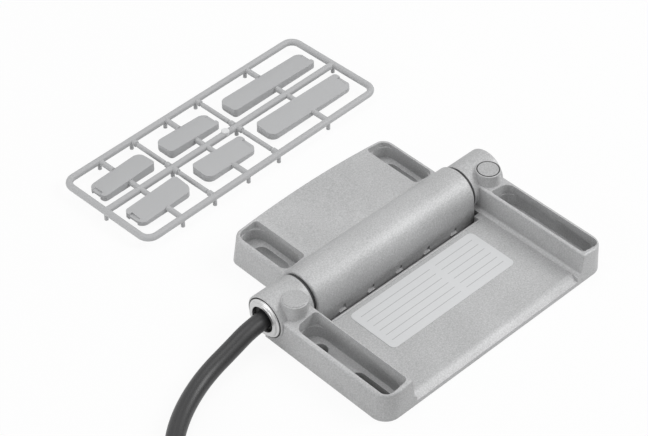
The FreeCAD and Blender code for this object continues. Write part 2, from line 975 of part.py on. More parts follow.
for side in (-1, 1):
    carrier_tools.append(cylinder(
        "carrier_wire_hole",
        s.wire_radius + s.running_clearance,
        s.no_place - s.nc_place,
        s.nc_place,
        s.axis_setback + s.wire_spread * side,
        wire_heights["no"],
        X_WAY,
    ))
carrier_blank = ring("carrier_blank", -axle_start, axle_start, 0, s.carrier_radius)
node(cut("contact_carrier", carrier_blank, carrier_tools), "contact_carrier")
node(group("carrier_lids", lids), "carrier_lids")


def cam_ring(name, middle):
    """A ring whose inner face closes in evenly as the door opens, pushing its plunger inwards."""
    outer = (s.bore_radius - s.seat_clearance).value
    rest = s.cam_rest_radius.value
    rate = s.plunger_travel.value / HINGE_TRAVEL
    first = 90.0 + CAM_RUN_ON
    last = 90.0 - HINGE_TRAVEL - CAM_RUN_ON

    def on_ring(angle, radius):
        turned = math.radians(angle)
        return FreeCAD.Vector(0, radius * math.cos(turned), radius * math.sin(turned))

    points = []
    for step in range(CAM_POINTS):
        angle = last + (first - last) * step / (CAM_POINTS - 1)
        points.append(on_ring(angle, rest - rate * (90.0 - angle)))
    spiral = Part.BSplineCurve()
    spiral.interpolate(points)
    relief = rest + rate * CAM_RUN_ON
    back = Part.Arc(points[-1], on_ring((first + last) / 2 + 180.0, relief), on_ring(last, relief))
    step_in = Part.LineSegment(on_ring(last, relief), points[0])
    inside = Part.Wire([spiral.toShape(), back.toShape(), step_in.toShape()])
    rim = Part.Wire([Part.Circle(FreeCAD.Vector(), FreeCAD.Vector(1, 0, 0), outer).toShape()])
    blank = Part.Face(rim).extrude(FreeCAD.Vector(s.cam_width.value, 0, 0))
    hollow_room = Part.Face(inside).extrude(FreeCAD.Vector(s.cam_width.value, 0, 0))
    item = doc.addObject("Part::Feature", name)
    item.Shape = blank.cut(hollow_room)
    place(item, middle - s.cam_width / 2, s.axis_setback, s.axis_height)
    return item


def spring(name, middle, length):
    """A small helical spring that stands on its lid, bent up from short straight runs."""
    radius = s.spring_radius.value
    height = (length - s.spring_wire * 2).value
    steps = SPRING_TURNS * SPRING_STEPS
    points = []
    for step in range(steps + 1):
        angle = 2 * math.pi * step / SPRING_STEPS
        rise = height * step / steps
        points.append(FreeCAD.Vector(radius * math.cos(angle), radius * math.sin(angle), rise))
    circle = Part.Circle(points[0], points[1] - points[0], s.spring_wire.value).toShape()
    item = doc.addObject("Part::Feature", name)
    item.Shape = Part.makePolygon(points).makePipeShell([Part.Wire([circle])], True, False, MITRED)
    place(item, middle, s.axis_setback, lid_top + s.spring_wire)
    return item


fixed_contacts = []
for name, middle in places.items():
    node(cam_ring(f"{name}_cam_ring", middle), f"{name}_cam_ring")
    node(turned_upright(f"{name}_plunger", middle, s.axis_setback, [
        (0, plunger_end),
        (s.plunger_radius, plunger_end),
        (s.plunger_radius, s.axis_height),
        (s.plunger_waist, s.axis_height),
        (s.plunger_waist, bridge_top),
        (s.plunger_radius, bridge_top),
        (s.plunger_radius, tip_height - s.plunger_radius),
        (0, tip_height, s.plunger_radius),
    ]), f"{name}_plunger")
    bridge = box(
        f"{name}_bridge_blank",
        middle - s.bridge_width / 2,
        middle + s.bridge_width / 2,
        s.axis_setback - s.bridge_length / 2,
        s.axis_setback + s.bridge_length / 2,
        s.axis_height,
        bridge_top,
    )
    through = cylinder(
        f"{name}_bridge_hole",
        s.plunger_waist + s.seat_clearance,
        s.bridge_thickness,
        middle,
        s.axis_setback,
        s.axis_height,
        Z_WAY,
    )
    node(cut(f"{name}_contact_bridge", bridge, [through]), f"{name}_contact_bridge")
    node(spring(f"{name}_spring", middle, plunger_end - lid_top), f"{name}_spring")
    for side in (-1, 1):
        inner = s.axis_setback + s.contact_inset * side
        outer = s.axis_setback + s.cavity_width / 2 * side
        low_side, high_side = (inner, outer) if side > 0 else (outer, inner)
        fixed_contacts.append(box(
            f"{name}_contact",
            middle - s.contact_width / 2,
            middle + s.contact_width / 2,
            low_side,
            high_side,
            contact_bottoms[name],
            contact_bottoms[name] + s.contact_thickness,
        ))
node(group("fixed_contacts", fixed_contacts), "fixed_contacts")

# Leads from the fixed contacts to the end of the cable's jacket
jacket_end = -half_length + s.jacket_depth
leads = []
for name, middle in places.items():
    for side in (-1, 1):
        leads.append(cylinder(
            f"{name}_lead",
            s.wire_radius,
            middle + s.contact_width / 2 - jacket_end,
            jacket_end,
            s.axis_setback + s.wire_spread * side,
            wire_heights[name],
            X_WAY,
        ))
node(group("lead_wires", leads), "lead_wires")

# Blank rating label on the plate
label_middle = s.axis_setback - s.label_setback
half_label = knuckle_face - s.label_inset
label = new_body("label")
label_face = Drawing(label, "XY_Plane", (0, 0, s.plate_thickness))
label_face.outline(oblong(
    -half_label,
    half_label,
    label_middle - s.label_width / 2,
    label_middle + s.label_width / 2,
    s.label_corner,
))
pad(label, label_face, s.label_thickness)
node(label, "rating_label")


def lay_on_frame(item):
    """Turn a piece of the moulding frame to where the frame lies beside the hinge."""
    item.Placement = FreeCAD.Placement(FreeCAD.Vector(), FreeCAD.Rotation(FreeCAD.Vector(0, 0, 1), 1))
    bind(item, Placement__Rotation__Angle=s.frame_turn)
    place(item, s.frame_offset_x, s.frame_offset_y + s.axis_setback, 0)
    return item


# Moulding frame: long runners, end runners and corner bends round a middle runner
cap_width = s.pocket_width - s.cap_clearance * 2
long_cap = pocket_length - s.cap_clearance * 2
short_cap = door_pocket_length - s.cap_clearance * 2
end_rooms = s.near_end_room + s.far_end_room
near_gap = s.near_cross_before + s.near_cross_after
far_gap = s.far_cross_before + s.far_cross_after
half_frame = (end_rooms + near_gap + far_gap + short_cap * 2 + long_cap) / 2
near_cap_end = -half_frame + s.near_end_room + short_cap
middle_cap_end = near_cap_end + near_gap + short_cap
crossings = (near_cap_end + s.near_cross_before, middle_cap_end + s.far_cross_before)
cap_row = s.middle_room + cap_width / 2
half_width = cap_row + cap_width / 2 + s.side_room
straight_x = half_frame - s.frame_corner
straight_y = half_width - s.frame_corner
long_runners = []
end_runners = []
bends = []
for side in (-1, 1):
    long_runners.append(cylinder(
        "long_runner",
        s.runner_radius,
        straight_x * 2,
        -straight_x,
        half_width * side,
        s.runner_height,
        X_WAY,
    ))
    end_runners.append(cylinder(
        "end_runner",
        s.runner_radius,
        straight_y * 2,
        half_frame * side,
        -straight_y,
        s.runner_height,
        Y_WAY,
    ))
for turns, (x_side, y_side) in enumerate([(1, 1), (-1, 1), (-1, -1), (1, -1)]):
    bend = doc.addObject("Part::Torus", "bend")
    bind(bend, Radius1=s.frame_corner, Radius2=s.runner_radius)
    bend.Angle3 = 90
    bend.Placement.Rotation = FreeCAD.Rotation(FreeCAD.Vector(0, 0, 1), 90 * turns)
    place(bend, straight_x * x_side, straight_y * y_side, s.runner_height)
    bends.append(bend)
middle_blank = cylinder(
    "middle_blank",
    s.runner_radius,
    half_frame * 2,
    -half_frame,
    0,
    s.runner_height,
    X_WAY,
)
middle_runner = cut("middle_runner", middle_blank, end_runners)
cross_runners = []
for place_x in crossings:
    for side in (-1, 1):
        blank = cylinder(
            "cross_blank",
            s.cross_radius,
            half_width,
            place_x,
            0,
            s.runner_height,
            (0, side, 0),
        )
        cross_runners.append(cut("cross_runner", blank, long_runners + [middle_blank]))
node(lay_on_frame(group("frame_long_runners", long_runners)), "frame_long_runners")
node(lay_on_frame(group("frame_end_runners", end_runners)), "frame_end_runners")
node(lay_on_frame(group("frame_corner_bends", bends)), "frame_corner_bends")
node(lay_on_frame(middle_runner), "frame_middle_runner")
node(lay_on_frame(group("frame_cross_runners", cross_runners)), "frame_cross_runners")

# Gates that hold the covers, and ejector stubs that the frame stands on
cap_lengths = {"long": long_cap, "middle": short_cap, "near": short_cap}
cap_places = {
    "long": half_frame - s.far_end_room - long_cap / 2,
    "middle": middle_cap_end - short_cap / 2,
    "near": near_cap_end - short_cap / 2,
}
gates = []
stubs = []
for name, middle in cap_places.items():
    for side in (-1, 1):
        outer_gate = cylinder(
            "outer_gate",
            s.gate_radius,
            half_width - cap_row - cap_width / 2,
            middle,
            half_width * side,
            s.runner_height,
            (0, -side, 0),
        )
        gates.append(cut("outer_gate_trimmed", outer_gate, long_runners))
        inner_gate = cylinder(
            "inner_gate",
            s.gate_radius,
            cap_row - cap_width / 2,
            middle,
            0,
            s.runner_height,
            (0, side, 0),
        )
        gates.append(cut("inner_gate_trimmed", inner_gate, [middle_blank]))
        stub_blank = cylinder(
            "stub_blank",
            s.foot_radius,
            s.runner_height,
            middle,
            half_width * side,
            0,
            Z_WAY,
        )
        stubs.append(cut("stub", stub_blank, long_runners))
for place_x in crossings:
    for row in (-1, 0, 1):
        line = half_width * row
        stub_blank = cylinder("stub_blank", s.foot_radius, s.runner_height, place_x, line, 0, Z_WAY)
        stubs.append(cut("stub", stub_blank, long_runners + [middle_blank]))
for side in (-1, 1):
    stub_blank = cylinder("stub_blank", s.foot_radius, s.runner_height, half_frame * side, 0, 0, Z_WAY)
    stubs.append(cut("stub", stub_blank, end_runners + [middle_blank]))
node(lay_on_frame(group("frame_gates", gates)), "frame_gates")
node(lay_on_frame(group("frame_stubs", stubs)), "frame_stubs")


def cap(name, middle, length, side, notch):
    """One screw cover: thick towards the middle runner, thinning along to the end with its pry tab."""
    outer = (cap_row + cap_width / 2) * side
    inner = (cap_row - cap_width / 2) * side
    low, high = (inner, outer) if side > 0 else (outer, inner)
    cover = rounded_room(
        f"{name}_outline",
        middle - length / 2,
        middle + length / 2,
        low,
        high,
        s.cap_bottom,
        s.cap_bottom + s.cap_thick,
        inner,
        outer,
        True,
    )
    along = s.cap_taper / length
    across = (s.cap_thick - s.cap_thin) / cap_width
    over = (along + across) * s.cut_margin
    under = (along - across) * s.cut_margin
    above = s.cap_bottom + s.cap_thick + over
    wedge = new_body(f"{name}_wedge")
    section = Drawing(wedge, "YZ_Plane", (0, 0, middle - (length / 2 + s.cut_margin) * notch))
    corners = [
        (inner - s.cut_margin * side, above),
        (outer + s.cut_margin * side, s.cap_bottom + s.cap_thin + under),
        (outer + s.cut_margin * side, above + s.cap_taper),
        (inner - s.cut_margin * side, above + s.cap_taper),
    ]
    section.outline(corners if side > 0 else corners[::-1])
    sloped = pad(wedge, section, length + s.cut_margin * 2)
    sloped.UseCustomVector = True
    sloped.Direction = FreeCAD.Vector(notch, 0, 0)
    bind(sloped, Direction__z=-along)
    sunk = cut(f"{name}_sloped", cover, [wedge])
    end = middle + length / 2 * notch
    room_from = end - s.notch_depth if notch > 0 else end - s.cut_margin
    room_to = end + s.cut_margin if notch > 0 else end + s.notch_depth
    rooms = [
        box(
            f"{name}_notch",
            room_from,
            room_to,
            cap_row * side - s.notch_width / 2,
            cap_row * side + s.notch_width / 2,
            floor,
            roof,
        )
        for floor, roof in (
            (s.cap_bottom - s.cut_margin, s.cap_bottom + s.tab_under),
            (s.cap_bottom + s.tab_top, s.cap_bottom + s.cap_thick + s.cut_margin),
        )
    ]
    return cut(f"{name}_notched", sunk, rooms)


CAPS = [
    ("long_cover_back", "long", 1, 1),
    ("long_cover_front", "long", -1, 1),
    ("short_cover_middle_back", "middle", 1, 1),
    ("short_cover_middle_front", "middle", -1, 1),
    ("short_cover_near_back", "near", 1, -1),
    ("short_cover_near_front", "near", -1, -1),
]
for name, column, side, notch in CAPS:
    node(lay_on_frame(cap(name, cap_places[column], cap_lengths[column], side, notch)), name)


def cable_tube(name):
    """The cable from the gland to the coil: straight runs joined by arcs as large as they allow."""
    exit_end = -half_length - s.straight_exit
    straight = [(end.value, s.axis_setback.value, s.axis_height.value) for end in (jacket_end, exit_end)]
    points = [FreeCAD.Vector(*point) for point in straight + CABLE_ROUTE]
    radius = s.cable_radius.value
    edges = []
    start = points[0]
    for before, corner, after in zip(points, points[1:], points[2:]):
        come = (corner - before).normalize()
        leave = (after - corner).normalize()
        half_turn = come.getAngle(leave) / 2
        shorter = min((corner - before).Length, (after - corner).Length)
        arc_radius = ARC_SHARE * shorter / math.tan(half_turn)
        first = corner - come * ARC_SHARE * shorter
        last = corner + leave * ARC_SHARE * shorter
        inward = (leave - come).normalize()
        apex = corner + inward * (arc_radius / math.cos(half_turn) - arc_radius)
        edges.append(Part.LineSegment(start, first).toShape())
        edges.append(Part.Arc(first, apex, last).toShape())
        start = last
    edges.append(Part.LineSegment(start, points[-1]).toShape())
    circle = Part.Circle(points[0], points[1] - points[0], radius).toShape()
    item = doc.addObject("Part::Feature", name)
    item.Shape = Part.Wire(edges).makePipeShell([Part.Wire([circle])], True, False)
    return item


# Cable, its put-away coil with a tie, and the stripped end that lies on the coil
node(cable_tube("cable_tube"), "cable_tube")
coil_top = s.coil_lift + s.coil_height
coil_body = new_body("coil")
coil_face = Drawing(coil_body, "XY_Plane", (0, 0, s.coil_lift))
coil_face.circle(s.coil_middle_x, s.coil_middle_y, s.coil_outer)
coil_face.circle(s.coil_middle_x, s.coil_middle_y, s.coil_inner)
pad(coil_body, coil_face, s.coil_height)
node(coil_body, "cable_coil")
tie_room = box(
    "tie_room",
    s.coil_middle_x - s.coil_outer - s.tie_clearance,
    s.coil_middle_x - s.coil_inner + s.tie_clearance,
    s.coil_middle_y - s.tie_width,
    s.coil_middle_y + s.tie_width,
    s.coil_lift - s.tie_clearance / 2,
    coil_top + s.tie_clearance,
)
tie_band = box(
    "tie_band",
    s.coil_middle_x - s.coil_outer - s.tie_clearance - s.tie_thickness,
    s.coil_middle_x - s.coil_inner + s.tie_clearance + s.tie_thickness,
    s.coil_middle_y - s.tie_width / 2,
    s.coil_middle_y + s.tie_width / 2,
    s.coil_lift - s.tie_clearance / 2 - s.tie_thickness,
    coil_top + s.tie_clearance + s.tie_thickness,
)
node(cut("cable_tie", tie_band, [tie_room]), "cable_tie")
end_line = s.coil_middle_y + s.end_row
end_height = coil_top + s.cable_radius
end_face = s.coil_middle_x + s.end_start - s.end_length
jacket = cylinder("jacket_end", s.cable_radius, s.end_length, end_face, end_line, end_height, X_WAY)
node(jacket, "cable_end")
cores = []
ferrules = []
for index in range(CORE_COUNT):
    core_line = end_line + s.ferrule_radius * 2 * (index - (CORE_COUNT - 1) / 2)
    core_height = coil_top + s.ferrule_radius
    core_end = end_face - s.core_length
    cores.append(cylinder("core", s.core_radius, s.core_length, core_end, core_line, core_height, X_WAY))
    ferrules.append(cylinder(
        "ferrule",
        s.ferrule_radius,
        s.ferrule_length,
        core_end - s.ferrule_length,
        core_line,
        core_height,
        X_WAY,
    ))
node(group("cable_cores", cores), "cable_cores")
node(group("core_ferrules", ferrules), "core_ferrules")

# Check every object, then write one file for each piece
doc.recompute()
for item in doc.Objects:
    if "Invalid" in item.State or "Error" in item.State:
        raise RuntimeError(f"{item.Label} failed: {item.State}")
for item in nodes:
    if item.Shape.isNull() or not item.Shape.isValid():
        raise RuntimeError(f"{item.Label} has no valid shape")
os.makedirs("parts", exist_ok=True)
for item in nodes:
    item.Shape.exportStep(f"parts/{item.Label}.step")
    print(f"{item.Label}: {len(item.Shape.Solids)} solids, {item.Shape.Volume:.1f} mm3")
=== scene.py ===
"""Looks of a safety hinge switch with its cable and its screw covers.

Every length is in metres in the part's own frame: X along the hinge axis away from the cable,
Y from the switch leaf towards the door leaf, Z up out of the face that both are screwed down on.
"""

import json
import logging
import math
from dataclasses import dataclass
from enum import Enum
from functools import reduce
from typing import Callable, Optional, Sequence, Union

import bmesh
import bpy
from mathutils import Matrix, Vector


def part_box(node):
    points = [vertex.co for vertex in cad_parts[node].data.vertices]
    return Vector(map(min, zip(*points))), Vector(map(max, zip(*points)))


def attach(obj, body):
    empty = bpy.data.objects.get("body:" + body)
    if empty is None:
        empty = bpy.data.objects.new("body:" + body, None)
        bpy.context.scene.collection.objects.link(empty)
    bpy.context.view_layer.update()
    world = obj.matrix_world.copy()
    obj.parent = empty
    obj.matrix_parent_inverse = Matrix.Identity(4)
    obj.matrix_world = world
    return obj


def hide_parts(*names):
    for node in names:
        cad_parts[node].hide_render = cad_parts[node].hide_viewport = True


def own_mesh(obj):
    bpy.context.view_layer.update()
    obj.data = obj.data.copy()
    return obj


LOG = logging.getLogger("safety_hinge_switch")
MM = 0.001

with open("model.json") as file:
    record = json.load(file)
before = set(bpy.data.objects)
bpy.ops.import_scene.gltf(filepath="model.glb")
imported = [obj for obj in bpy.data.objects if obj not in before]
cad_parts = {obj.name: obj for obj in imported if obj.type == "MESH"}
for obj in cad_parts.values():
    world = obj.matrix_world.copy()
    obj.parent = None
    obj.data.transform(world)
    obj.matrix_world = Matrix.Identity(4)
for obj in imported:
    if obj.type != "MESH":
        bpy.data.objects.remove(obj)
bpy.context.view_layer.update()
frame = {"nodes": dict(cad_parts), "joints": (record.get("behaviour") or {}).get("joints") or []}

# Y and Z of the hinge axis.
_, AXIS_Y, AXIS_Z = next(joint["pos_m"] for joint in frame["joints"] if joint["name"] == "door_hinge")

Pair = tuple[float, float]
Point = tuple[float, float, float]
Colour = tuple[float, float, float]
WHITE: Colour = (1.0, 1.0, 1.0)


class Body(Enum):
    """The bodies that new pieces ride on."""

    SWITCH_LEAF = "switch_leaf"
    DOOR_LEAF = "door_leaf"


class Slot(Enum):
    """The record's material slots, passed along with each new piece."""

    CAST_METAL = "cast_metal"
    PLUG_METAL = "plug_metal"
    GLAND_METAL = "gland_metal"
    SEAL_RUBBER = "seal_rubber"
    STRIP_PLASTIC = "strip_plastic"
    COVER_PLASTIC = "cover_plastic"
    CABLE_JACKET = "cable_jacket"
    TIE_PLASTIC = "tie_plastic"


def math_node(operation: str) -> Callable[..., "Value"]:
    """A method that adds one Math node.

    Args:
        operation: Blender's name of what the node works out.

    Returns:
        The method, which takes the further terms of the operation.
    """

    def method(value: "Value", *others: "Term") -> "Value":
        """Add the node for a value and some further terms."""
        terms = dict(enumerate((value, *others)))
        return value.graph.node("ShaderNodeMath", {"operation": operation}, terms)

    return method


class Value:
    """A shader socket that takes part in Python arithmetic."""

    def __init__(self, graph: "Graph", socket: bpy.types.NodeSocket) -> None:
        """Keep the socket and the graph that it belongs to."""
        self.graph = graph
        self.socket = socket

    # A comparison gives one where it holds, otherwise nought.
    __add__ = math_node("ADD")
    __sub__ = math_node("SUBTRACT")
    __mul__ = math_node("MULTIPLY")
    __truediv__ = math_node("DIVIDE")
    __lt__ = math_node("LESS_THAN")
    __gt__ = math_node("GREATER_THAN")
    __abs__ = math_node("ABSOLUTE")
    larger = math_node("MAXIMUM")
    fraction = math_node("FRACT")
    root = math_node("SQRT")

    def __rsub__(self, other: float) -> "Value":
        """Difference, from the right."""
        return self.graph.node("ShaderNodeMath", {"operation": "SUBTRACT"}, {0: other, 1: self})

    def wave(self) -> "Value":
        """A straight-sided wave from 0 to 1, with a crest at each whole number."""
        return abs(self.fraction() - 0.5) * 2.0


Term = Union[Value, float]


def shaded(colour: Colour, share: float) -> Colour:
    """A colour made lighter or darker by a share."""
    return tuple(min(1.0, channel * share) for channel in colour)


def opaque(colour: Colour) -> tuple[float, float, float, float]:
    """A colour with full alpha, as a socket takes it."""
    return (*colour, 1.0)


def swung(level: float, *swings: tuple[Value, float]) -> Value:
    """A level that noises swing up and down.

    Args:
        level: The middle level.
        swings: Each noise, from 0 to 1, with its full swing.

    Returns:
        The swung level.
    """
    moved = reduce(Value.__add__, [noise * swing for noise, swing in swings])
    return moved + (level - sum(swing for _, swing in swings) / 2)


class Graph:
    """The nodes of one material or world."""

    # Rays that reach the eye: at once, from a reflection or through glass.
    SEEN_RAYS = ("Is Camera Ray", "Is Glossy Ray", "Is Transmission Ray")

    def __init__(self, owner: Union[bpy.types.Material, bpy.types.World]) -> None:
        """Start with no nodes.

        Args:
            owner: The material or world.
        """
        self.owner = owner
        owner.use_nodes = True
        self.tree = owner.node_tree
        self.tree.nodes.clear()

    @classmethod
    def of_material(cls, name: str) -> "Graph":
        """The graph of a new material."""
        return cls(bpy.data.materials.new(name))

    def node(
        self,
        kind: str,
        settings: Optional[dict] = None,
        inputs: Optional[dict] = None,
        output: Union[int, str] = 0,
    ) -> Value:
        """Add one node.

        Args:
            kind: Blender's name of the node's type.
            settings: Attributes of the node.
            inputs: Values or links by the name or number of the input socket.
            output: Which output to return.

        Returns:
            The chosen output.
        """
        item = self.tree.nodes.new(kind)
        for key, setting in (settings or {}).items():
            setattr(item, key, setting)
        for key, entry in (inputs or {}).items():
            if isinstance(entry, Value):
                self.tree.links.new(entry.socket, item.inputs[key])
            else:
                item.inputs[key].default_value = entry
        return Value(self, item.outputs[output])

    def outputs(self, first: Value, names: Sequence[Union[int, str]]) -> list[Value]:
        """Several outputs of the node that a value comes from."""
        sockets = first.socket.node.outputs
        return [Value(self, sockets[name]) for name in names]

    def place(self) -> Value:
        """Object coordinates."""
        return self.node("ShaderNodeTexCoord", output="Object")

    def axes(self) -> list[Value]:
        """Object coordinates along X, Y and Z."""
        return self.outputs(self.node("ShaderNodeSeparateXYZ", inputs={0: self.place()}), range(3))

    def seen(self) -> Value:
        """One for a ray that reaches the eye, otherwise nought."""
        return reduce(Value.larger, self.outputs(self.node("ShaderNodeLightPath"), self.SEEN_RAYS))

    def noise(self, size: float, detail: float = 2.0, roughness: float = 0.5) -> Value:
        """Smooth noise with lumps of about a size.

        Args:
            size: Width of a lump in metres.
            detail: How many finer layers it has.
            roughness: How strong the finer layers are.

        Returns:
            Noise from 0 to 1.
        """
        inputs = {"Vector": self.place(), "Scale": 1.0 / size, "Detail": detail, "Roughness": roughness}
        return self.node("ShaderNodeTexNoise", inputs=inputs)

    def ramp(self, value: Value, black: float, white: float) -> Value:
        """Stretch a value over a grey ramp from where it is black to where it is white."""
        stretched = self.node("ShaderNodeValToRGB", inputs={0: value})
        stops = stretched.socket.node.color_ramp.elements
        stops[0].position = black
        stops[1].position = white
        return stretched

    def tint(self, factor: Term, low: Union[Value, Colour], high: Colour) -> Value:
        """Blend two colours.

        Args:
            factor: Nought for the first colour, one for the second.
            low: First colour, which may be a blend itself.
            high: Second colour.

        Returns:
            The blended colour.
        """
        first = low if isinstance(low, Value) else opaque(low)
        return self.node("ShaderNodeMix", {"data_type": "RGBA"}, {0: factor, 6: first, 7: opaque(high)}, 2)

    def tones(self, factor: Term, colour: Colour, shares: Pair) -> Value:
        """Blend two tones of a colour, given as shares of it."""
        return self.tint(factor, *(shaded(colour, share) for share in shares))

    def bump(self, height: Value, strength: float, depth: float) -> Value:
        """A bumped normal.

        Args:
            height: Height from 0 to 1.
            strength: How much of the bump shows.
            depth: Height of a full bump in metres.

        Returns:
            The normal.
        """
        return self.node("ShaderNodeBump", None, {"Strength": strength, "Distance": depth, "Height": height})

    def diffuse(self, colour: Colour) -> Value:
        """A plain matt shader."""
        return self.node("ShaderNodeBsdfDiffuse", None, {"Color": opaque(colour)})

    def mixed(self, factor: Term, first: Value, second: Value) -> Value:
        """Mix two shaders: the first where the factor is nought, the second where it is one."""
        return self.node("ShaderNodeMixShader", None, {0: factor, 1: first, 2: second})

    def surface(self, **inputs: Term) -> bpy.types.Material:
        """Close the graph of a material with one Principled shader.

        Args:
            inputs: Sockets of the shader, with an underscore for each space.

        Returns:
            The finished material.
        """
        named = {key.replace("_", " "): entry for key, entry in inputs.items()}
        self.close(self.node("ShaderNodeBsdfPrincipled", None, named))
        return self.owner

    def close(self, shader: Value) -> None:
        """Link a shader to the output of the material or world."""
        is_world = isinstance(self.owner, bpy.types.World)
        item = self.tree.nodes.new("ShaderNodeOutputWorld" if is_world else "ShaderNodeOutputMaterial")
        self.tree.links.new(shader.socket, item.inputs["Surface"])


@dataclass(frozen=True)
class CastFinish:
    """Fine-grained silver coating on a die casting."""

    name: str
    colour: Colour
    roughness: float = 0.53
    metallic: float = 0.32
    grain: float = 0.5 * MM
    grain_detail: float = 3.0
    grain_roughness: float = 0.65
    grain_share: float = 0.8
    cloud: float = 18 * MM
    contrast: Pair = (0.3, 0.7)
    speckle: float = 0.26
    sheen: float = 0.16
    relief: float = 0.03 * MM
    relief_share: float = 0.5

    def material(self) -> bpy.types.Material:
        """Sandy speckle over faint clouds, with a relief that breaks up the highlights."""
        graph = Graph.of_material(self.name)
        grain = graph.noise(self.grain, self.grain_detail, self.grain_roughness)
        mix = grain * self.grain_share + graph.noise(self.cloud) * (1.0 - self.grain_share)
        spread = graph.ramp(mix, *self.contrast)
        return graph.surface(
            Base_Color=graph.tones(spread, self.colour, (1.0 - self.speckle, 1.0 + self.speckle)),
            Metallic=self.metallic,
            Roughness=swung(self.roughness, (grain, self.sheen)),
            Normal=graph.bump(grain, self.relief_share, self.relief),
        )


@dataclass(frozen=True)
class MouldedFinish:
    """Matt plastic from an eroded mould."""

    name: str
    colour: Colour
    roughness: float = 0.55
    grain: float = 0.3 * MM
    grain_share: float = 0.5
    cloud: float = 9 * MM
    speckle: float = 0.05
    sheen: float = 0.1
    relief: float = 0.012 * MM
    relief_share: float = 0.35

    def material(self) -> bpy.types.Material:
        """Very fine texture with faint flow clouds."""
        graph = Graph.of_material(self.name)
        grain = graph.noise(self.grain)
        clouds = graph.noise(self.cloud)
        mix = grain * self.grain_share + clouds * (1.0 - self.grain_share)
        return graph.surface(
            Base_Color=graph.tones(mix, self.colour, (1.0 - self.speckle, 1.0 + self.speckle)),
            Roughness=swung(self.roughness, (clouds, self.sheen)),
            Normal=graph.bump(grain, self.relief_share, self.relief),
        )


@dataclass(frozen=True)
class RubberFinish:
    """Black rubber or cable jacket."""

    name: str
    colour: Colour
    roughness: float
    patch: float = 11 * MM
    patch_detail: float = 3.0
    grain: float = 0.35 * MM
    speckle: float = 0.25
    bloom: float = 0.16
    sheen: float = 0.06
    relief: float = 0.012 * MM
    relief_share: float = 0.3

    def material(self) -> bpy.types.Material:
        """Dull bloom in soft patches with a fine extruded texture."""
        graph = Graph.of_material(self.name)
        patches = graph.noise(self.patch, self.patch_detail)
        grain = graph.noise(self.grain)
        return graph.surface(
            Base_Color=graph.tones(patches, self.colour, (1.0 - self.speckle, 1.0 + self.speckle)),
            Roughness=swung(self.roughness, (patches, self.bloom), (grain, self.sheen)),
            Normal=graph.bump(grain, self.relief_share, self.relief),
        )


@dataclass(frozen=True)
class TurnedFinish:
    """Metal turned on a lathe about the hinge axis."""

    name: str
    colour: Colour
    roughness: float = 0.34
    metallic: float = 0.85
    pitch: float = 0.16 * MM
    cloud: float = 2.2 * MM
    shares: Pair = (0.9, 1.06)
    ring_sheen: float = 0.1
    cloud_sheen: float = 0.08
    relief: float = 0.01 * MM
    relief_share: float = 0.25

    def material(self) -> bpy.types.Material:
        """Fine rings round the axis over a slightly uneven tone."""
        graph = Graph.of_material(self.name)
        x, y, z = graph.axes()
        side = y - AXIS_Y
        rise = z - AXIS_Z
        radius = (side * side + rise * rise).root()
        rings = ((radius + x) / self.pitch).wave()
        clouds = graph.noise(self.cloud)
        return graph.surface(
            Base_Color=graph.tones(clouds, self.colour, self.shares),
            Metallic=self.metallic,
            Roughness=swung(self.roughness, (rings, self.ring_sheen), (clouds, self.cloud_sheen)),
            Normal=graph.bump(rings, self.relief_share, self.relief),
        )


@dataclass(frozen=True)
class DrawnFinish:
    """Drawn or stamped bare metal with fine scratches."""

    name: str
    colour: Colour
    roughness: float = 0.3
    metallic: float = 0.95
    scratches_per_metre: Point = (120.0, 4000.0, 4000.0)
    cloud: float = 1.8 * MM
    shares: Pair = (0.92, 1.05)
    sheen: float = 0.16

    def material(self) -> bpy.types.Material:
        """Scratches along X over a slightly uneven tone."""
        graph = Graph.of_material(self.name)
        stretch = {"Vector": graph.place(), "Scale": self.scratches_per_metre}
        stretched = graph.node("ShaderNodeMapping", None, stretch)
        scratches = graph.node("ShaderNodeTexNoise", None, {"Vector": stretched, "Scale": 1.0, "Detail": 2.0})
        return graph.surface(
            Base_Color=graph.tones(graph.noise(self.cloud), self.colour, self.shares),
            Metallic=self.metallic,
            Roughness=swung(self.roughness, (scratches, self.sheen)),
        )


@dataclass(frozen=True)
class FoilFinish:
    """Blank silver rating label with faint ruled lines in two fields."""

    name: str
    node: str
    colour: Colour
    ink: Colour
    ink_share: float = 0.42
    stroke: float = 0.24 * MM
    pitch: float = 2.9 * MM
    # Whole rows keep the count above nought, and the half row sets the middle between two lines.
    row_shift: float = 100.5
    margin: float = 2.6 * MM
    field_split: Pair = (0.22, 0.32)
    roughness: float = 0.44
    metallic: float = 0.15
    grain: float = 0.5 * MM
    grain_share: float = 0.6
    wear: float = 7 * MM
    wear_detail: float = 3.0
    shares: Pair = (0.95, 1.04)
    sheen: float = 0.08

    def ruled(self, graph: Graph) -> Value:
        """How much ink shows: some on the ruled lines, otherwise none."""
        low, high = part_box(self.node)
        x, y, _ = graph.axes()
        height = y - (low.y + high.y) / 2
        rule = (height / self.pitch + self.row_shift).fraction() < self.stroke / self.pitch
        field_end = (high.x - low.x) / 2 - self.margin
        left_end, right_start = (field_end * share for share in self.field_split)
        left = (x > -field_end) * (x < left_end)
        right = (x > right_start) * (x < field_end)
        room = abs(height) < (high.y - low.y) / 2 - self.margin
        return rule * room * (left + right) * self.ink_share

    def material(self) -> bpy.types.Material:
        """Matt foil with a fine brushed tone, darker along its ruled lines."""
        graph = Graph.of_material(self.name)
        grain = graph.noise(self.grain)
        wear = graph.noise(self.wear, self.wear_detail)
        mix = grain * self.grain_share + wear * (1.0 - self.grain_share)
        foil = graph.tones(mix, self.colour, self.shares)
        return graph.surface(
            Base_Color=graph.tint(self.ruled(graph), foil, self.ink),
            Metallic=self.metallic,
            Roughness=swung(self.roughness, (grain, self.sheen), (wear, self.sheen)),
        )


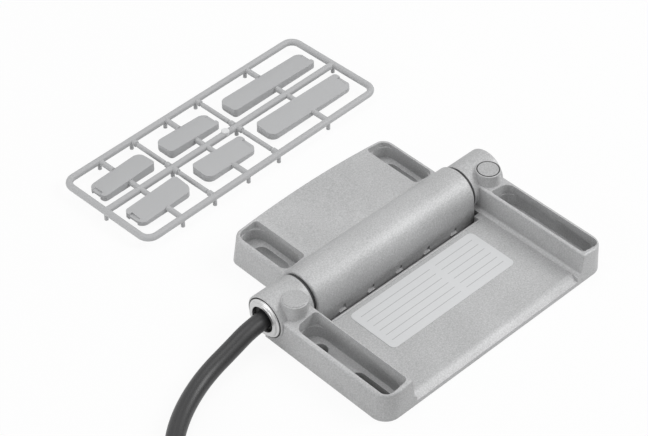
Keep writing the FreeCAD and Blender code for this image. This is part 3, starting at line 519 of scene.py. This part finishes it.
@dataclass(frozen=True)
class BandedFinish:
    """Insulation of wires that lie side by side in different colours."""

    name: str
    node: str
    colours: tuple[Colour, ...]
    cloud: float = 0.6 * MM
    shares: Pair = (1.0, 1.15)
    roughness: float = 0.45
    sheen: float = 0.1

    def material(self) -> bpy.types.Material:
        """One colour for each wire, chosen by its place across the node."""
        low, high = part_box(self.node)
        pitch = (high.y - low.y) / len(self.colours)
        graph = Graph.of_material(self.name)
        _, y, _ = graph.axes()
        clouds = graph.noise(self.cloud)
        first, *others = self.colours
        colour = graph.tones(clouds, first, self.shares)
        for index, other in enumerate(others, start=1):
            colour = graph.tint(y > low.y + pitch * index, colour, other)
        return graph.surface(Base_Color=colour, Roughness=swung(self.roughness, (clouds, self.sheen)))


GREY: Colour = (0.465, 0.467, 0.47)
BROWN: Colour = (0.16, 0.06, 0.02)
BLACK: Colour = (0.02, 0.02, 0.02)
BLUE: Colour = (0.02, 0.06, 0.3)
PALE: Colour = (0.7, 0.7, 0.68)
CAST = CastFinish("cast_metal_look", GREY)
PLUG = CastFinish("plug_metal_look", shaded(GREY, 0.92))
COVER = MouldedFinish("cover_plastic_look", (0.47, 0.474, 0.48))
SPRUE = MouldedFinish("sprue_cut_look", (0.78, 0.785, 0.79), 0.6)
STRIP = MouldedFinish("strip_plastic_look", (0.55, 0.555, 0.56))
JACKET = RubberFinish("cable_jacket_look", (0.022, 0.022, 0.023), 0.4)
SEAL = RubberFinish("seal_rubber_look", (0.012, 0.012, 0.012), 0.6)
BEARING = MouldedFinish("bearing_plastic_look", (0.03, 0.03, 0.032))
INSERT = MouldedFinish("insert_plastic_look", (0.64, 0.61, 0.53))
CAM = MouldedFinish("cam_plastic_look", (0.52, 0.07, 0.05))
TIE = MouldedFinish("tie_plastic_look", (0.03, 0.03, 0.03), 0.4)
GLAND = TurnedFinish("gland_metal_look", (0.62, 0.62, 0.62))
AXLE = TurnedFinish("axle_steel_look", (0.55, 0.55, 0.56), roughness=0.28)
SPRING = DrawnFinish("spring_steel_look", (0.52, 0.52, 0.54))
BRASS = DrawnFinish("contact_brass_look", (0.72, 0.52, 0.22))
TINNED = DrawnFinish("ferrule_metal_look", (0.7, 0.7, 0.7))
LABEL = FoilFinish("label_foil_look", "rating_label", (0.665, 0.672, 0.68), (0.08, 0.08, 0.085))
CORES = BandedFinish("core_insulation_look", "cable_cores", (BROWN, BLACK, BLUE, PALE))
LEADS = BandedFinish("lead_insulation_look", "lead_wires", (BROWN, BROWN, BLUE, BLUE))


@dataclass(frozen=True)
class EdgeBox:
    """A box round edges that are rounded in another way than the rest of a piece."""

    low: Point
    high: Point
    radius: float = 0.0
    segments: int = 0

    def ends_inside(self, edge: bmesh.types.BMEdge) -> int:
        """How many ends of an edge lie in the box."""
        return sum(
            all(low <= place <= high for low, place, high in zip(self.low, vertex.co, self.high))
            for vertex in edge.verts
        )


class Workshop:
    """Mesh work that the sub-assemblies share."""

    # Angles in degrees: faces under the first are one, edges over the others are soft, corners or sharp.
    FLAT = 0.3
    SOFT = 15.0
    CORNER = 32.0
    SHARP = 35.0
    # Distances under which points are merged, in a copy from the CAD and in a turned shape.
    COPY_MERGE = 1e-6
    TURN_MERGE = 1e-7
    BAR_SEGMENTS = 3

    @staticmethod
    def corners(mesh: bmesh.types.BMesh, least: float) -> list[bmesh.types.BMEdge]:
        """Edges whose faces meet at more than an angle in degrees."""
        limit = math.radians(least)
        return [edge for edge in mesh.edges if edge.is_manifold and edge.calc_face_angle() > limit]

    @staticmethod
    def round_off(
        mesh: bmesh.types.BMesh,
        edges: Sequence[bmesh.types.BMEdge],
        radius: float,
        segments: int,
    ) -> None:
        """Round some edges.

        Args:
            mesh: The bmesh that they belong to.
            edges: The edges.
            radius: Width of the rounding in metres.
            segments: How many steps it has.
        """
        bmesh.ops.bevel(
            mesh,
            geom=edges,
            offset=radius,
            offset_type="OFFSET",
            affect="EDGES",
            segments=segments,
            profile=0.5,
            material=-1,
            clamp_overlap=True,
        )

    @staticmethod
    def disc(radius: float, low: float, high: float, ease: float) -> list[Pair]:
        """Profile of a disc between two heights, with some of its upper edge eased off."""
        return [(0.0, low), (radius, low), (radius, high - ease), (radius - ease, high), (0.0, high)]

    @staticmethod
    def turned(mesh: bmesh.types.BMesh, profile: Sequence[Pair], place: Matrix, steps: int) -> None:
        """Turn a profile round the Z axis and set it in its place.

        Args:
            mesh: The bmesh that the shape is added to.
            profile: Radius and height of each corner, from axis to axis or round to its start.
            place: Where the shape goes.
            steps: How many steps the full turn has.
        """
        shape = bmesh.new()
        points = [shape.verts.new((radius, 0.0, height)) for radius, height in profile]
        line = [shape.edges.new(pair) for pair in zip(points, points[1:])]
        bmesh.ops.spin(
            shape,
            geom=points + line,
            axis=(0.0, 0.0, 1.0),
            angle=2 * math.pi,
            steps=steps,
            use_merge=True,
        )
        bmesh.ops.remove_doubles(shape, verts=shape.verts, dist=Workshop.TURN_MERGE)
        bmesh.ops.recalc_face_normals(shape, faces=shape.faces)
        bmesh.ops.transform(shape, matrix=place, verts=shape.verts)
        data = bpy.data.meshes.new("turned_shape")
        shape.to_mesh(data)
        shape.free()
        mesh.from_mesh(data)
        bpy.data.meshes.remove(data)

    @staticmethod
    def bar(mesh: bmesh.types.BMesh, low: Sequence[float], high: Sequence[float], radius: float) -> None:
        """Add a straight bar with rounded edges.

        Args:
            mesh: The bmesh that the bar is added to.
            low: Its lowest corner.
            high: Its highest corner.
            radius: Rounding of its edges.
        """
        size = Vector(high) - Vector(low)
        middle = (Vector(high) + Vector(low)) / 2
        place = Matrix.Translation(middle) @ Matrix.Diagonal((*size, 1.0))
        made = bmesh.ops.create_cube(mesh, size=1.0, matrix=place)
        edges = list({edge for vertex in made["verts"] for edge in vertex.link_edges})
        Workshop.round_off(mesh, edges, radius, Workshop.BAR_SEGMENTS)

    @staticmethod
    def finish_mesh(name: str, mesh: bmesh.types.BMesh) -> bpy.types.Object:
        """Turn a finished bmesh into an object with smooth faces and sharp corners.

        Args:
            name: Name of the piece.
            mesh: The bmesh, which is freed.

        Returns:
            The new object.
        """
        limit = math.radians(Workshop.SHARP)
        for face in mesh.faces:
            face.smooth = True
        for edge in mesh.edges:
            edge.smooth = edge.is_manifold and edge.calc_face_angle() < limit
        data = bpy.data.meshes.new(name)
        mesh.to_mesh(data)
        mesh.free()
        item = bpy.data.objects.new(name, data)
        bpy.context.scene.collection.objects.link(item)
        return item

    @staticmethod
    def softened(
        node: str,
        name: str,
        radius: float,
        segments: int = 2,
        creases: Sequence[EdgeBox] = (),
        spared: Sequence[EdgeBox] = (),
    ) -> bpy.types.Object:
        """A merged copy of a CAD node with its corners slightly rounded.

        Args:
            node: The CAD node to copy.
            name: Name of the new piece.
            radius: Width of the rounding in metres, or nought for none.
            segments: How many steps the rounding has.
            creases: Boxes round edges that have a rounding of their own.
            spared: Boxes whose edges stay sharp.

        Returns:
            The new object.
        """
        mesh = bmesh.new()
        mesh.from_mesh(frame["nodes"][node].data)
        bmesh.ops.remove_doubles(mesh, verts=mesh.verts, dist=Workshop.COPY_MERGE)
        flat = math.radians(Workshop.FLAT)
        bmesh.ops.dissolve_limit(mesh, angle_limit=flat, verts=mesh.verts, edges=mesh.edges)
        for crease in creases:
            soft = Workshop.corners(mesh, Workshop.SOFT)
            edges = [edge for edge in soft if crease.ends_inside(edge) == 2]
            LOG.info("%s: %d edges in a crease", name, len(edges))
            Workshop.round_off(mesh, edges, crease.radius, crease.segments)
        if radius > 0:
            edges = Workshop.corners(mesh, Workshop.CORNER)
            for place in spared:
                edges = [edge for edge in edges if place.ends_inside(edge) == 0]
            Workshop.round_off(mesh, edges, radius, segments)
        return Workshop.finish_mesh(name, mesh)

    @staticmethod
    def fit(
        item: bpy.types.Object,
        body: Body,
        material: bpy.types.Material,
        slot: Slot,
        nodes: Sequence[str] = (),
    ) -> None:
        """Dress a new piece, seat it on its body and log it.

        Args:
            item: The piece.
            body: The body that it rides on.
            material: Its finish.
            slot: The record's slot for it; not used.
            nodes: CAD nodes that it stands for.
        """
        item.data.materials.clear()
        item.data.materials.append(material)
        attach(item, body.value)
        if nodes:
            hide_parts(*nodes)
        LOG.info("piece %s rides on %s", item.name, body.value)

    @staticmethod
    def dress_node(node: str, material: bpy.types.Material) -> None:
        """Give a CAD node that stays its finish."""
        item = frame["nodes"][node]
        item.data.materials.clear()
        item.data.materials.append(material)
        LOG.info("node %s dressed", node)


@dataclass
class Cable:
    """The cable from its gland to the put-away coil and its bare end."""

    diameter: float = 6.4 * MM
    length: float = 3.0
    exit: Point = (-0.054, 0.019, 0.0086)
    coil_x: float = -0.0720
    coil_y: float = -0.1305
    outer: float = 0.0484
    inner: float = 0.02565
    first_layer: float = 0.0044
    start_angle: float = 178.0
    steps: int = 16
    # Turns of a full layer, of a climb to the next one, of the last layer and of each half of the end.
    layer_turns: float = 3.5
    climb_turns: float = 1.0
    last_turns: float = 2.0
    end_turns: float = 0.3
    # How far the climbs bow outwards, the third up to the end.
    bows: Point = (-0.0010, 0.0022, -0.0015)
    last_width: float = 0.013
    rise_radius: float = 0.0350
    leave_radius: float = 0.0445
    # Places of the end's bend and of its straight row, from the coil's middle.
    end_bend: Pair = (0.0305, 0.0325)
    end_row: float = 0.036
    end_start: float = 0.026
    end_lead: float = 0.002
    end_length: float = 0.022
    tie_round: float = 0.25 * MM

    # Corners of the route from inside the gland to the coil.
    ROUTE = [
        (-0.0460, 0.0190, 0.0086),
        (-0.0580, 0.0190, 0.0086),
        (-0.0695, 0.0178, 0.0061),
        (-0.0795, 0.0167, 0.0044),
        (-0.0890, 0.0138, 0.0035),
        (-0.0985, 0.0090, 0.0033),
        (-0.1075, 0.0022, 0.0033),
        (-0.1145, -0.0070, 0.0033),
        (-0.1186, -0.0180, 0.0033),
        (-0.1202, -0.0310, 0.0033),
        (-0.1204, -0.0520, 0.0035),
        (-0.1204, -0.0760, 0.0038),
        (-0.1204, -0.1020, 0.0041),
    ]

    def stretches(self) -> list[tuple[float, Pair, Pair, float]]:
        """The coil's stretches, wound inwards and outwards in turn.

        Returns:
            Turns, first and last radius, first and last height, and the bow outwards of each.
        """
        low, second, third, top = (self.first_layer + self.diameter * layer for layer in range(4))
        last = self.outer - self.last_width
        inner_bow, outer_bow, end_bow = self.bows
        return [
            (self.layer_turns, (self.outer, self.inner), (low, low), 0.0),
            (self.climb_turns, (self.inner, self.inner), (low, second), inner_bow),
            (self.layer_turns, (self.inner, self.outer), (second, second), 0.0),
            (self.climb_turns, (self.outer, self.outer), (second, third), outer_bow),
            (self.last_turns, (self.outer, last), (third, third), 0.0),
            (self.end_turns, (last, self.rise_radius), (third, top), end_bow),
            (self.end_turns, (self.rise_radius, self.leave_radius), (top, top), 0.0),
        ]

    def coil_points(self) -> list[Vector]:
        """Points of the neat coil and of the end that leaves it from its top layer."""
        points = []
        angle = math.radians(self.start_angle)
        for turns, radii, heights, bow in self.stretches():
            count = round(turns * self.steps)
            for share in (step / count for step in range(count)):
                around = angle + 2 * math.pi * turns * share
                radius, height = (first + (last - first) * share for first, last in (radii, heights))
                radius += bow * math.sin(math.pi * share)
                points.append((radius * math.cos(around), radius * math.sin(around), height))
            angle += 2 * math.pi * turns
        straight = (self.end_lead, self.end_length / 2, self.end_length)
        row = [(self.end_start - along, self.end_row) for along in straight]
        points += [(x, y, height) for x, y in (self.end_bend, *row)]
        return [Vector((self.coil_x + x, self.coil_y + y, z)) for x, y, z in points]

    def spline(self, name: str) -> bpy.types.Object:
        """One smooth curve along the whole cable.

        Args:
            name: Name of the piece.

        Returns:
            The curve object.
        """
        data = bpy.data.curves.new(name, "CURVE")
        data.dimensions = "3D"
        data.bevel_depth = self.diameter / 2
        data.bevel_resolution = 5
        data.resolution_u = 6
        data.use_fill_caps = True
        points = [Vector(corner) for corner in self.ROUTE] + self.coil_points()
        line = data.splines.new("NURBS")
        line.points.add(len(points) - 1)
        for point, corner in zip(line.points, points):
            point.co = (*corner, 1.0)
        line.order_u = 3
        line.use_endpoint_u = True
        item = bpy.data.objects.new(name, data)
        bpy.context.scene.collection.objects.link(item)
        return item

    def build(self) -> None:
        cord = self.spline("cable")
        stands_for = ("cable_tube", "cable_coil", "cable_end")
        Workshop.fit(cord, Body.SWITCH_LEAF, JACKET.material(), Slot.CABLE_JACKET, stands_for)
        tie = Workshop.softened("cable_tie", "coil_tie", self.tie_round)
        Workshop.fit(tie, Body.SWITCH_LEAF, TIE.material(), Slot.TIE_PLASTIC, ("cable_tie",))
        Workshop.dress_node("cable_cores", CORES.material())
        Workshop.dress_node("core_ferrules", TINNED.material())


@dataclass
class SwitchLeaf:
    """The fixed leaf: casting, plugs, gland and label."""

    casting_round: float = 0.3 * MM
    # Y and Z of the plate's two front edges, and their roundings.
    half_plate: float = 41 * MM
    crease_line: Pair = (-34.2 * MM, 3.6 * MM)
    crease_round: float = 1.3 * MM
    edge_line: Pair = (-36.6 * MM, 1.7 * MM)
    edge_round: float = 0.6 * MM
    crease_slack: float = 0.1 * MM
    crease_segments: int = 4
    # Inner and outer radius of the ring on the gland's face.
    gland_lip: Pair = (4.85 * MM, 6.2 * MM)
    gland_proud: float = 0.3 * MM
    gland_ease: float = 0.12 * MM
    gland_round: float = 0.12 * MM
    # Radius of each plug's head and how far it stands proud of its boss.
    left_head: Pair = (4.05 * MM, 0.28 * MM)
    right_head: Pair = (3.75 * MM, 0.16 * MM)
    head_ease: float = 0.14 * MM
    # Inner and outer radius of the dark rubber rings round the gland's nut and the right plug, which are
    # painted shade for the gaps there.
    gland_shadow_ring: Pair = (7.1 * MM, 7.6 * MM)
    plug_shadow_ring: Pair = (3.7 * MM, 4.1 * MM)
    shadow_ring_proud: float = 0.05 * MM
    # How deep heads and painted shadow rings reach into what they sit on.
    sunk: float = 0.28 * MM
    ring_steps: int = 72
    head_steps: int = 64
    # Lowest and highest corner of the right web.
    web_low: Point = (36.2 * MM, 5.4 * MM, 0.4 * MM)
    web_high: Point = (41.8 * MM, 8.9 * MM, 3.55 * MM)
    web_round: float = 0.2 * MM
    # Y and Z of the lip's lowest and highest corners.
    lip_half: float = 36.4 * MM
    lip_low: Pair = (5.7 * MM, 3.3 * MM)
    lip_high: Pair = (6.5 * MM, 3.8 * MM)
    lip_round: float = 0.18 * MM

    def creases(self) -> list[EdgeBox]:
        """The plate's soft front edges."""
        slack = self.crease_slack
        return [
            EdgeBox(
                (-self.half_plate, y - slack, z - slack),
                (self.half_plate, y + slack, z + slack),
                radius,
                self.crease_segments,
            )
            for (y, z), radius in ((self.crease_line, self.crease_round), (self.edge_line, self.edge_round))
        ]

    def lip(self) -> bpy.types.Object:
        """The fine ridge along the plate's edge at the barrel."""
        mesh = bmesh.new()
        Workshop.bar(mesh, (-self.lip_half, *self.lip_low), (self.lip_half, *self.lip_high), self.lip_round)
        return Workshop.finish_mesh("plate_lip", mesh)

    def webs(self) -> bpy.types.Object:
        """The plate's two corners that reach back to the barrel's ends."""
        mesh = bmesh.new()
        Workshop.bar(mesh, self.web_low, self.web_high, self.web_round)
        mirrored_low = (-self.web_high[0], *self.web_low[1:])
        mirrored_high = (-self.web_low[0], *self.web_high[1:])
        Workshop.bar(mesh, mirrored_low, mirrored_high, self.web_round)
        return Workshop.finish_mesh("plate_webs", mesh)

    @staticmethod
    def facing_cable(node: str) -> Matrix:
        """The place on the hinge axis at a node's cable end, with Z out of it."""
        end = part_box(node)[0].x
        return Matrix.Translation((end, AXIS_Y, AXIS_Z)) @ Matrix.Rotation(-math.pi / 2, 4, "Y")

    @staticmethod
    def boss_tops() -> list[Matrix]:
        """The middles of the left and the right boss, level with their tops."""
        low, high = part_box("boss_plugs")
        radius = (high.y - low.y) / 2
        ends = (low.x + radius, high.x - radius)
        return [Matrix.Translation((x, low.y + radius, high.z)) for x in ends]

    def gland_ring_lip(self) -> bpy.types.Object:
        """The raised inner ring on the face of the gland."""
        inner, outer = self.gland_lip
        ease = self.gland_ease
        profile = [
            (inner, -self.gland_proud),
            (inner, self.gland_proud - ease),
            (inner + ease, self.gland_proud),
            (outer - ease, self.gland_proud),
            (outer, self.gland_proud - ease),
            (outer, -self.gland_proud),
            (inner, -self.gland_proud),
        ]
        mesh = bmesh.new()
        Workshop.turned(mesh, profile, self.facing_cable("gland_ring"), self.ring_steps)
        return Workshop.finish_mesh("gland_lip", mesh)

    def plug_heads(self) -> bpy.types.Object:
        """The flat heads of the plugs on the two bosses, of which the right one sits lower."""
        mesh = bmesh.new()
        for place, (radius, proud) in zip(self.boss_tops(), (self.left_head, self.right_head)):
            profile = Workshop.disc(radius, -self.sunk, proud, self.head_ease)
            Workshop.turned(mesh, profile, place, self.head_steps)
        return Workshop.finish_mesh("plug_heads", mesh)

    def joints(self) -> bpy.types.Object:
        """Dark rubber rings round the gland's nut and the right plug, which are painted shade for the gaps
        there.
        """
        _, right_boss = self.boss_tops()
        joints = ((self.gland_shadow_ring, self.facing_cable("switch_leaf")), (self.plug_shadow_ring, right_boss))
        mesh = bmesh.new()
        for (inner, outer), place in joints:
            profile = [
                (inner, -self.sunk),
                (inner, self.shadow_ring_proud),
                (outer, self.shadow_ring_proud),
                (outer, -self.sunk),
                (inner, -self.sunk),
            ]
            Workshop.turned(mesh, profile, place, self.ring_steps)
        return Workshop.finish_mesh("painted_shadow_rings", mesh)

    def build(self) -> None:
        """Round the casting's corners and dress what is fixed to it."""
        metal = CAST.material()
        casting = Workshop.softened(
            "switch_leaf", "switch_leaf_casting", self.casting_round, creases=self.creases()
        )
        Workshop.fit(casting, Body.SWITCH_LEAF, metal, Slot.CAST_METAL, ("switch_leaf",))
        Workshop.fit(self.lip(), Body.SWITCH_LEAF, metal, Slot.CAST_METAL)
        Workshop.fit(self.webs(), Body.SWITCH_LEAF, metal, Slot.CAST_METAL)
        plug_metal = PLUG.material()
        Workshop.dress_node("boss_plugs", plug_metal)
        Workshop.fit(self.plug_heads(), Body.SWITCH_LEAF, plug_metal, Slot.PLUG_METAL)
        gland_metal = GLAND.material()
        gland = Workshop.softened("gland_ring", "gland_nut", self.gland_round)
        Workshop.fit(gland, Body.SWITCH_LEAF, gland_metal, Slot.GLAND_METAL, ("gland_ring",))
        Workshop.fit(self.gland_ring_lip(), Body.SWITCH_LEAF, gland_metal, Slot.GLAND_METAL)
        rubber = SEAL.material()
        Workshop.dress_node("cable_seal", rubber)
        # Dark rubber rings as painted shade in the gaps round the gland's nut and the right plug.
        Workshop.fit(self.joints(), Body.SWITCH_LEAF, rubber, Slot.SEAL_RUBBER)
        Workshop.dress_node("cable_clamp", gland_metal)
        Workshop.dress_node("rating_label", LABEL.material())


@dataclass
class DoorLeaf:
    """The leaf that turns: casting with its barrel, bearings and underside strip."""

    casting_round: float = 0.3 * MM
    strip_round: float = 0.12 * MM
    window_count: int = 5
    window_pitch: float = 13.35 * MM
    # Y and Z of a lip's lowest and highest corners, and how far it sits off its window's middle.
    lip_half: float = 1.5 * MM
    lip_shift: float = -0.35 * MM
    lip_low: Pair = (8.85 * MM, 1.1 * MM)
    lip_high: Pair = (10.2 * MM, 1.45 * MM)
    lip_round: float = 0.15 * MM

    def window_lips(self) -> bpy.types.Object:
        """The small lips under the latch windows in the barrel's wall."""
        mesh = bmesh.new()
        for index in range(self.window_count):
            middle = self.window_pitch * (index - (self.window_count - 1) / 2) + self.lip_shift
            low = (middle - self.lip_half, *self.lip_low)
            high = (middle + self.lip_half, *self.lip_high)
            Workshop.bar(mesh, low, high, self.lip_round)
        return Workshop.finish_mesh("window_lips", mesh)

    def build(self) -> None:
        """Round the casting's corners and dress what turns with it."""
        metal = CAST.material()
        casting = Workshop.softened("door_leaf", "door_leaf_casting", self.casting_round)
        Workshop.fit(casting, Body.DOOR_LEAF, metal, Slot.CAST_METAL, ("door_leaf",))
        Workshop.fit(self.window_lips(), Body.DOOR_LEAF, metal, Slot.CAST_METAL)
        strip = Workshop.softened("barrel_cover", "barrel_strip", self.strip_round)
        Workshop.fit(strip, Body.DOOR_LEAF, STRIP.material(), Slot.STRIP_PLASTIC, ("barrel_cover",))
        bearing = BEARING.material()
        for node in ("bearing_bushes", "thrust_washers"):
            Workshop.dress_node(node, bearing)
        Workshop.dress_node("shaft_seals", SEAL.material())


@dataclass
class SwitchInsert:
    """What the barrel hides: axles, contacts, plungers and cams."""

    spring_foot: float = 5.6 * MM
    plunger_travel: float = 1.21 * MM

    DRESSED = (
        (AXLE, ("hollow_axle", "stub_axle", "axle_lock_pins")),
        (INSERT, ("contact_carrier", "carrier_lids", "nc_plunger", "no_plunger")),
        (CAM, ("nc_cam_ring", "no_cam_ring")),
        (BRASS, ("fixed_contacts", "nc_contact_bridge", "no_contact_bridge")),
        (SPRING, ("nc_spring", "no_spring")),
        (LEADS, ("lead_wires",)),
    )

    def squash_spring(self, contact: str) -> None:
        """Give one return spring a mesh of its own.

        Args:
            contact: Which contact the spring belongs to.
        """
        node = f"{contact}_spring"
        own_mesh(frame["nodes"][node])

    def build(self) -> None:
        """Dress every inner piece and give each spring a mesh of its own."""
        for finish, nodes in self.DRESSED:
            material = finish.material()
            for node in nodes:
                Workshop.dress_node(node, material)
        for contact in ("nc", "no"):
            self.squash_spring(contact)


@dataclass
class MouldingFrame:
    """The screw covers on the frame that they were moulded on."""

    cover_round: float = 0.36 * MM
    cover_segments: int = 3
    tab_reach: float = 1.9 * MM
    tab_half: float = 2.4 * MM
    # Degrees that the frame lies turned from the hinge axis.
    turn: float = 2.1
    crossings: Pair = (-25.35 * MM, 6.35 * MM)
    rod_start: float = 1.0 * MM
    rod_length: float = 19.85 * MM
    rod_radius: float = 0.9 * MM
    rod_ease: float = 0.2 * MM
    rod_steps: int = 20
    collar_radius: float = 1.15 * MM
    collar_length: float = 2.2 * MM
    neck_radius: float = 0.55 * MM
    neck_length: float = 0.6 * MM
    mark_place: float = 0.8 * MM
    mark_radius: float = 1.5 * MM
    mark_height: float = 1.75 * MM
    mark_ease: float = 0.25 * MM
    mark_steps: int = 28

    RUNNERS = (
        "frame_long_runners",
        "frame_end_runners",
        "frame_corner_bends",
        "frame_middle_runner",
        "frame_gates",
        "frame_stubs",
    )
    COVERS = (
        "long_cover_back",
        "long_cover_front",
        "short_cover_middle_back",
        "short_cover_middle_front",
        "short_cover_near_back",
        "short_cover_near_front",
    )

    def on_frame(self, x: float, y: float) -> Matrix:
        """The place of a point on the frame, given from the middle of its middle runner."""
        low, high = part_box("frame_middle_runner")
        turned = Matrix.Rotation(math.radians(self.turn), 4, "Z")
        return Matrix.Translation((low + high) / 2) @ turned @ Matrix.Translation((x, y, 0.0))

    def cross_rods(self) -> bpy.types.Object:
        """The rods between the runners, with a collar and a thin neck at each end."""
        neck_end = self.collar_length + self.neck_length
        half = [
            (0.0, 0.0),
            (self.collar_radius, 0.0),
            (self.collar_radius, self.collar_length - self.rod_ease),
            (self.neck_radius, self.collar_length),
            (self.neck_radius, neck_end),
            (self.rod_radius, neck_end + self.rod_ease),
        ]
        profile = half + [(radius, self.rod_length - along) for radius, along in reversed(half)]
        mesh = bmesh.new()
        for crossing in self.crossings:
            for side in (-1.0, 1.0):
                place = self.on_frame(crossing, side * self.rod_start)
                outwards = Matrix.Rotation(-side * math.pi / 2, 4, "X")
                Workshop.turned(mesh, profile, place @ outwards, self.rod_steps)
        return Workshop.finish_mesh("cross_rods", mesh)

    def sprue_mark(self) -> bpy.types.Object:
        """The round mark where the sprue was cut off the middle runner."""
        profile = Workshop.disc(self.mark_radius, 0.0, self.mark_height, self.mark_ease)
        mesh = bmesh.new()
        Workshop.turned(mesh, profile, self.on_frame(self.mark_place, 0.0), self.mark_steps)
        return Workshop.finish_mesh("sprue_mark", mesh)

    def tab(self, cover: str) -> EdgeBox:
        """A box round a cover's pry tab, which is left on the near covers and right on the others."""
        low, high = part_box(cover)
        way = -1.0 if "near" in cover else 1.0
        end = low.x if way < 0 else high.x
        sway = math.tan(math.radians(self.turn)) * (high.x - low.x) / 2 * way
        row = (low.y + high.y) / 2 + sway
        return EdgeBox(
            (end - self.tab_reach, row - self.tab_half, 0.0),
            (end + self.tab_reach, row + self.tab_half, high.z),
        )

    def build(self) -> None:
        """Dress the runners, turn the rods and round the covers."""
        plastic = COVER.material()
        rods = self.cross_rods()
        Workshop.fit(rods, Body.SWITCH_LEAF, plastic, Slot.COVER_PLASTIC, ("frame_cross_runners",))
        Workshop.fit(self.sprue_mark(), Body.SWITCH_LEAF, SPRUE.material(), Slot.COVER_PLASTIC)
        for node in self.RUNNERS:
            piece = Workshop.softened(node, f"{node}_moulding", 0.0)
            Workshop.fit(piece, Body.SWITCH_LEAF, plastic, Slot.COVER_PLASTIC, (node,))
        for node in self.COVERS:
            piece = Workshop.softened(
                node, f"{node}_moulding", self.cover_round, self.cover_segments, spared=[self.tab(node)]
            )
            Workshop.fit(piece, Body.SWITCH_LEAF, plastic, Slot.COVER_PLASTIC, (node,))


@dataclass(frozen=True)
class Lamp:
    """A square soft lamp: where it hangs, its side in metres and its power in watts."""

    name: str
    place: Point
    size: float
    power: float


@dataclass
class Studio:
    """Camera, lamps, pale floor and white surroundings."""

    eye: Point = (-0.3771, -0.3455, 0.5015)
    target: Point = (0.0007, 0.0470, 0.0)
    lens: float = 118.0
    sensor: float = 36.0
    lamps: tuple[Lamp, ...] = (
        Lamp("overhead_softbox", (0.05, 0.35, 1.2), 0.7, 2.8),
        Lamp("key_softbox", (0.68, -0.55, 0.8), 0.6, 6.3),
        Lamp("left_fill", (-1.0, 0.25, 0.27), 0.6, 3.3),
    )
    lamp_target: Point = (0.0, 0.04, 0.0)
    ambient: float = 0.45
    floor_size: float = 6.0
    floor_drop: float = 0.02 * MM
    floor_pale: Colour = (0.9, 0.9, 0.9)
    # The dark floor colour and its share below are painted shade under the hinge.
    floor_painted_shade: Colour = (0.05, 0.05, 0.05)
    floor_glow: float = 0.92
    painted_shade_share: float = 0.8
    # Half width and reach along Y of the floor patches under the fixed leaf and under the barrel, which are
    # painted dark as painted shade for the gaps.
    painted_shade_patches: tuple[Point, ...] = ((0.051, -0.0345, 0.006), (0.0395, 0.006, 0.0265))

    @staticmethod
    def aim(item: bpy.types.Object, place: Point, target: Point) -> None:
        """Set a camera or lamp up in its place, facing a target."""
        item.location = place
        item.rotation_mode = "QUATERNION"
        item.rotation_quaternion = (Vector(target) - Vector(place)).to_track_quat("-Z", "Y")
        bpy.context.scene.collection.objects.link(item)

    def camera(self) -> None:
        """Make the camera at the photograph's viewpoint."""
        data = bpy.data.cameras.new("photo_camera")
        data.sensor_width = self.sensor
        data.lens = self.lens
        item = bpy.data.objects.new("photo_camera", data)
        self.aim(item, self.eye, self.target)
        bpy.context.scene.camera = item

    def hang(self, lamp: Lamp) -> None:
        """Hang one lamp that faces the hinge and stays out of the picture."""
        data = bpy.data.lights.new(lamp.name, "AREA")
        data.shape = "SQUARE"
        data.size = lamp.size
        data.energy = lamp.power
        item = bpy.data.objects.new(lamp.name, data)
        item.visible_camera = False
        self.aim(item, lamp.place, self.lamp_target)

    def surroundings(self) -> None:
        """White to the eye, a plain soft grey as light."""
        world = bpy.data.worlds.new("studio_white")
        bpy.context.scene.world = world
        graph = Graph(world)
        light, white = (
            graph.node("ShaderNodeBackground", None, {"Color": opaque(WHITE), "Strength": strength})
            for strength in (self.ambient, 1.0)
        )
        graph.close(graph.mixed(graph.seen(), light, white))

    def floor(self) -> None:
        """A pale floor that is white to the eye, keeps a faint shadow and is painted dark under the hinge as
        painted shade for the gaps.
        """
        mesh = bmesh.new()
        bmesh.ops.create_grid(mesh, x_segments=1, y_segments=1, size=self.floor_size / 2)
        item = Workshop.finish_mesh("studio_floor", mesh)
        item.location.z = -self.floor_drop
        graph = Graph.of_material("studio_floor_look")
        x, y, _ = graph.axes()
        # Under the hinge the floor loses its glow and takes a dark colour: painted shade.
        patches = [(abs(x) < half) * (y > near) * (y < far) for half, near, far in self.painted_shade_patches]
        painted_shade_mask = reduce(Value.larger, patches)
        pale = graph.diffuse(self.floor_pale)
        ground = graph.mixed(painted_shade_mask * self.painted_shade_share, pale, graph.diffuse(self.floor_painted_shade))
        glow = graph.node("ShaderNodeEmission", None, {"Color": opaque(WHITE), "Strength": 1.0})
        graph.close(graph.mixed(graph.seen() * (1.0 - painted_shade_mask) * self.floor_glow, ground, glow))
        item.data.materials.append(graph.owner)

    def build(self) -> None:
        """Set the scene up."""
        bpy.context.scene.view_settings.view_transform = "Standard"
        self.camera()
        for lamp in self.lamps:
            self.hang(lamp)
        self.surroundings()
        self.floor()


def main() -> None:
    """Build the studio and every sub-assembly in order."""
    logging.basicConfig(level=logging.INFO, format="%(name)s: %(message)s")
    for assembly in (Studio(), Cable(), SwitchLeaf(), DoorLeaf(), SwitchInsert(), MouldingFrame()):
        assembly.build()


if __name__ == "__main__":
    main()
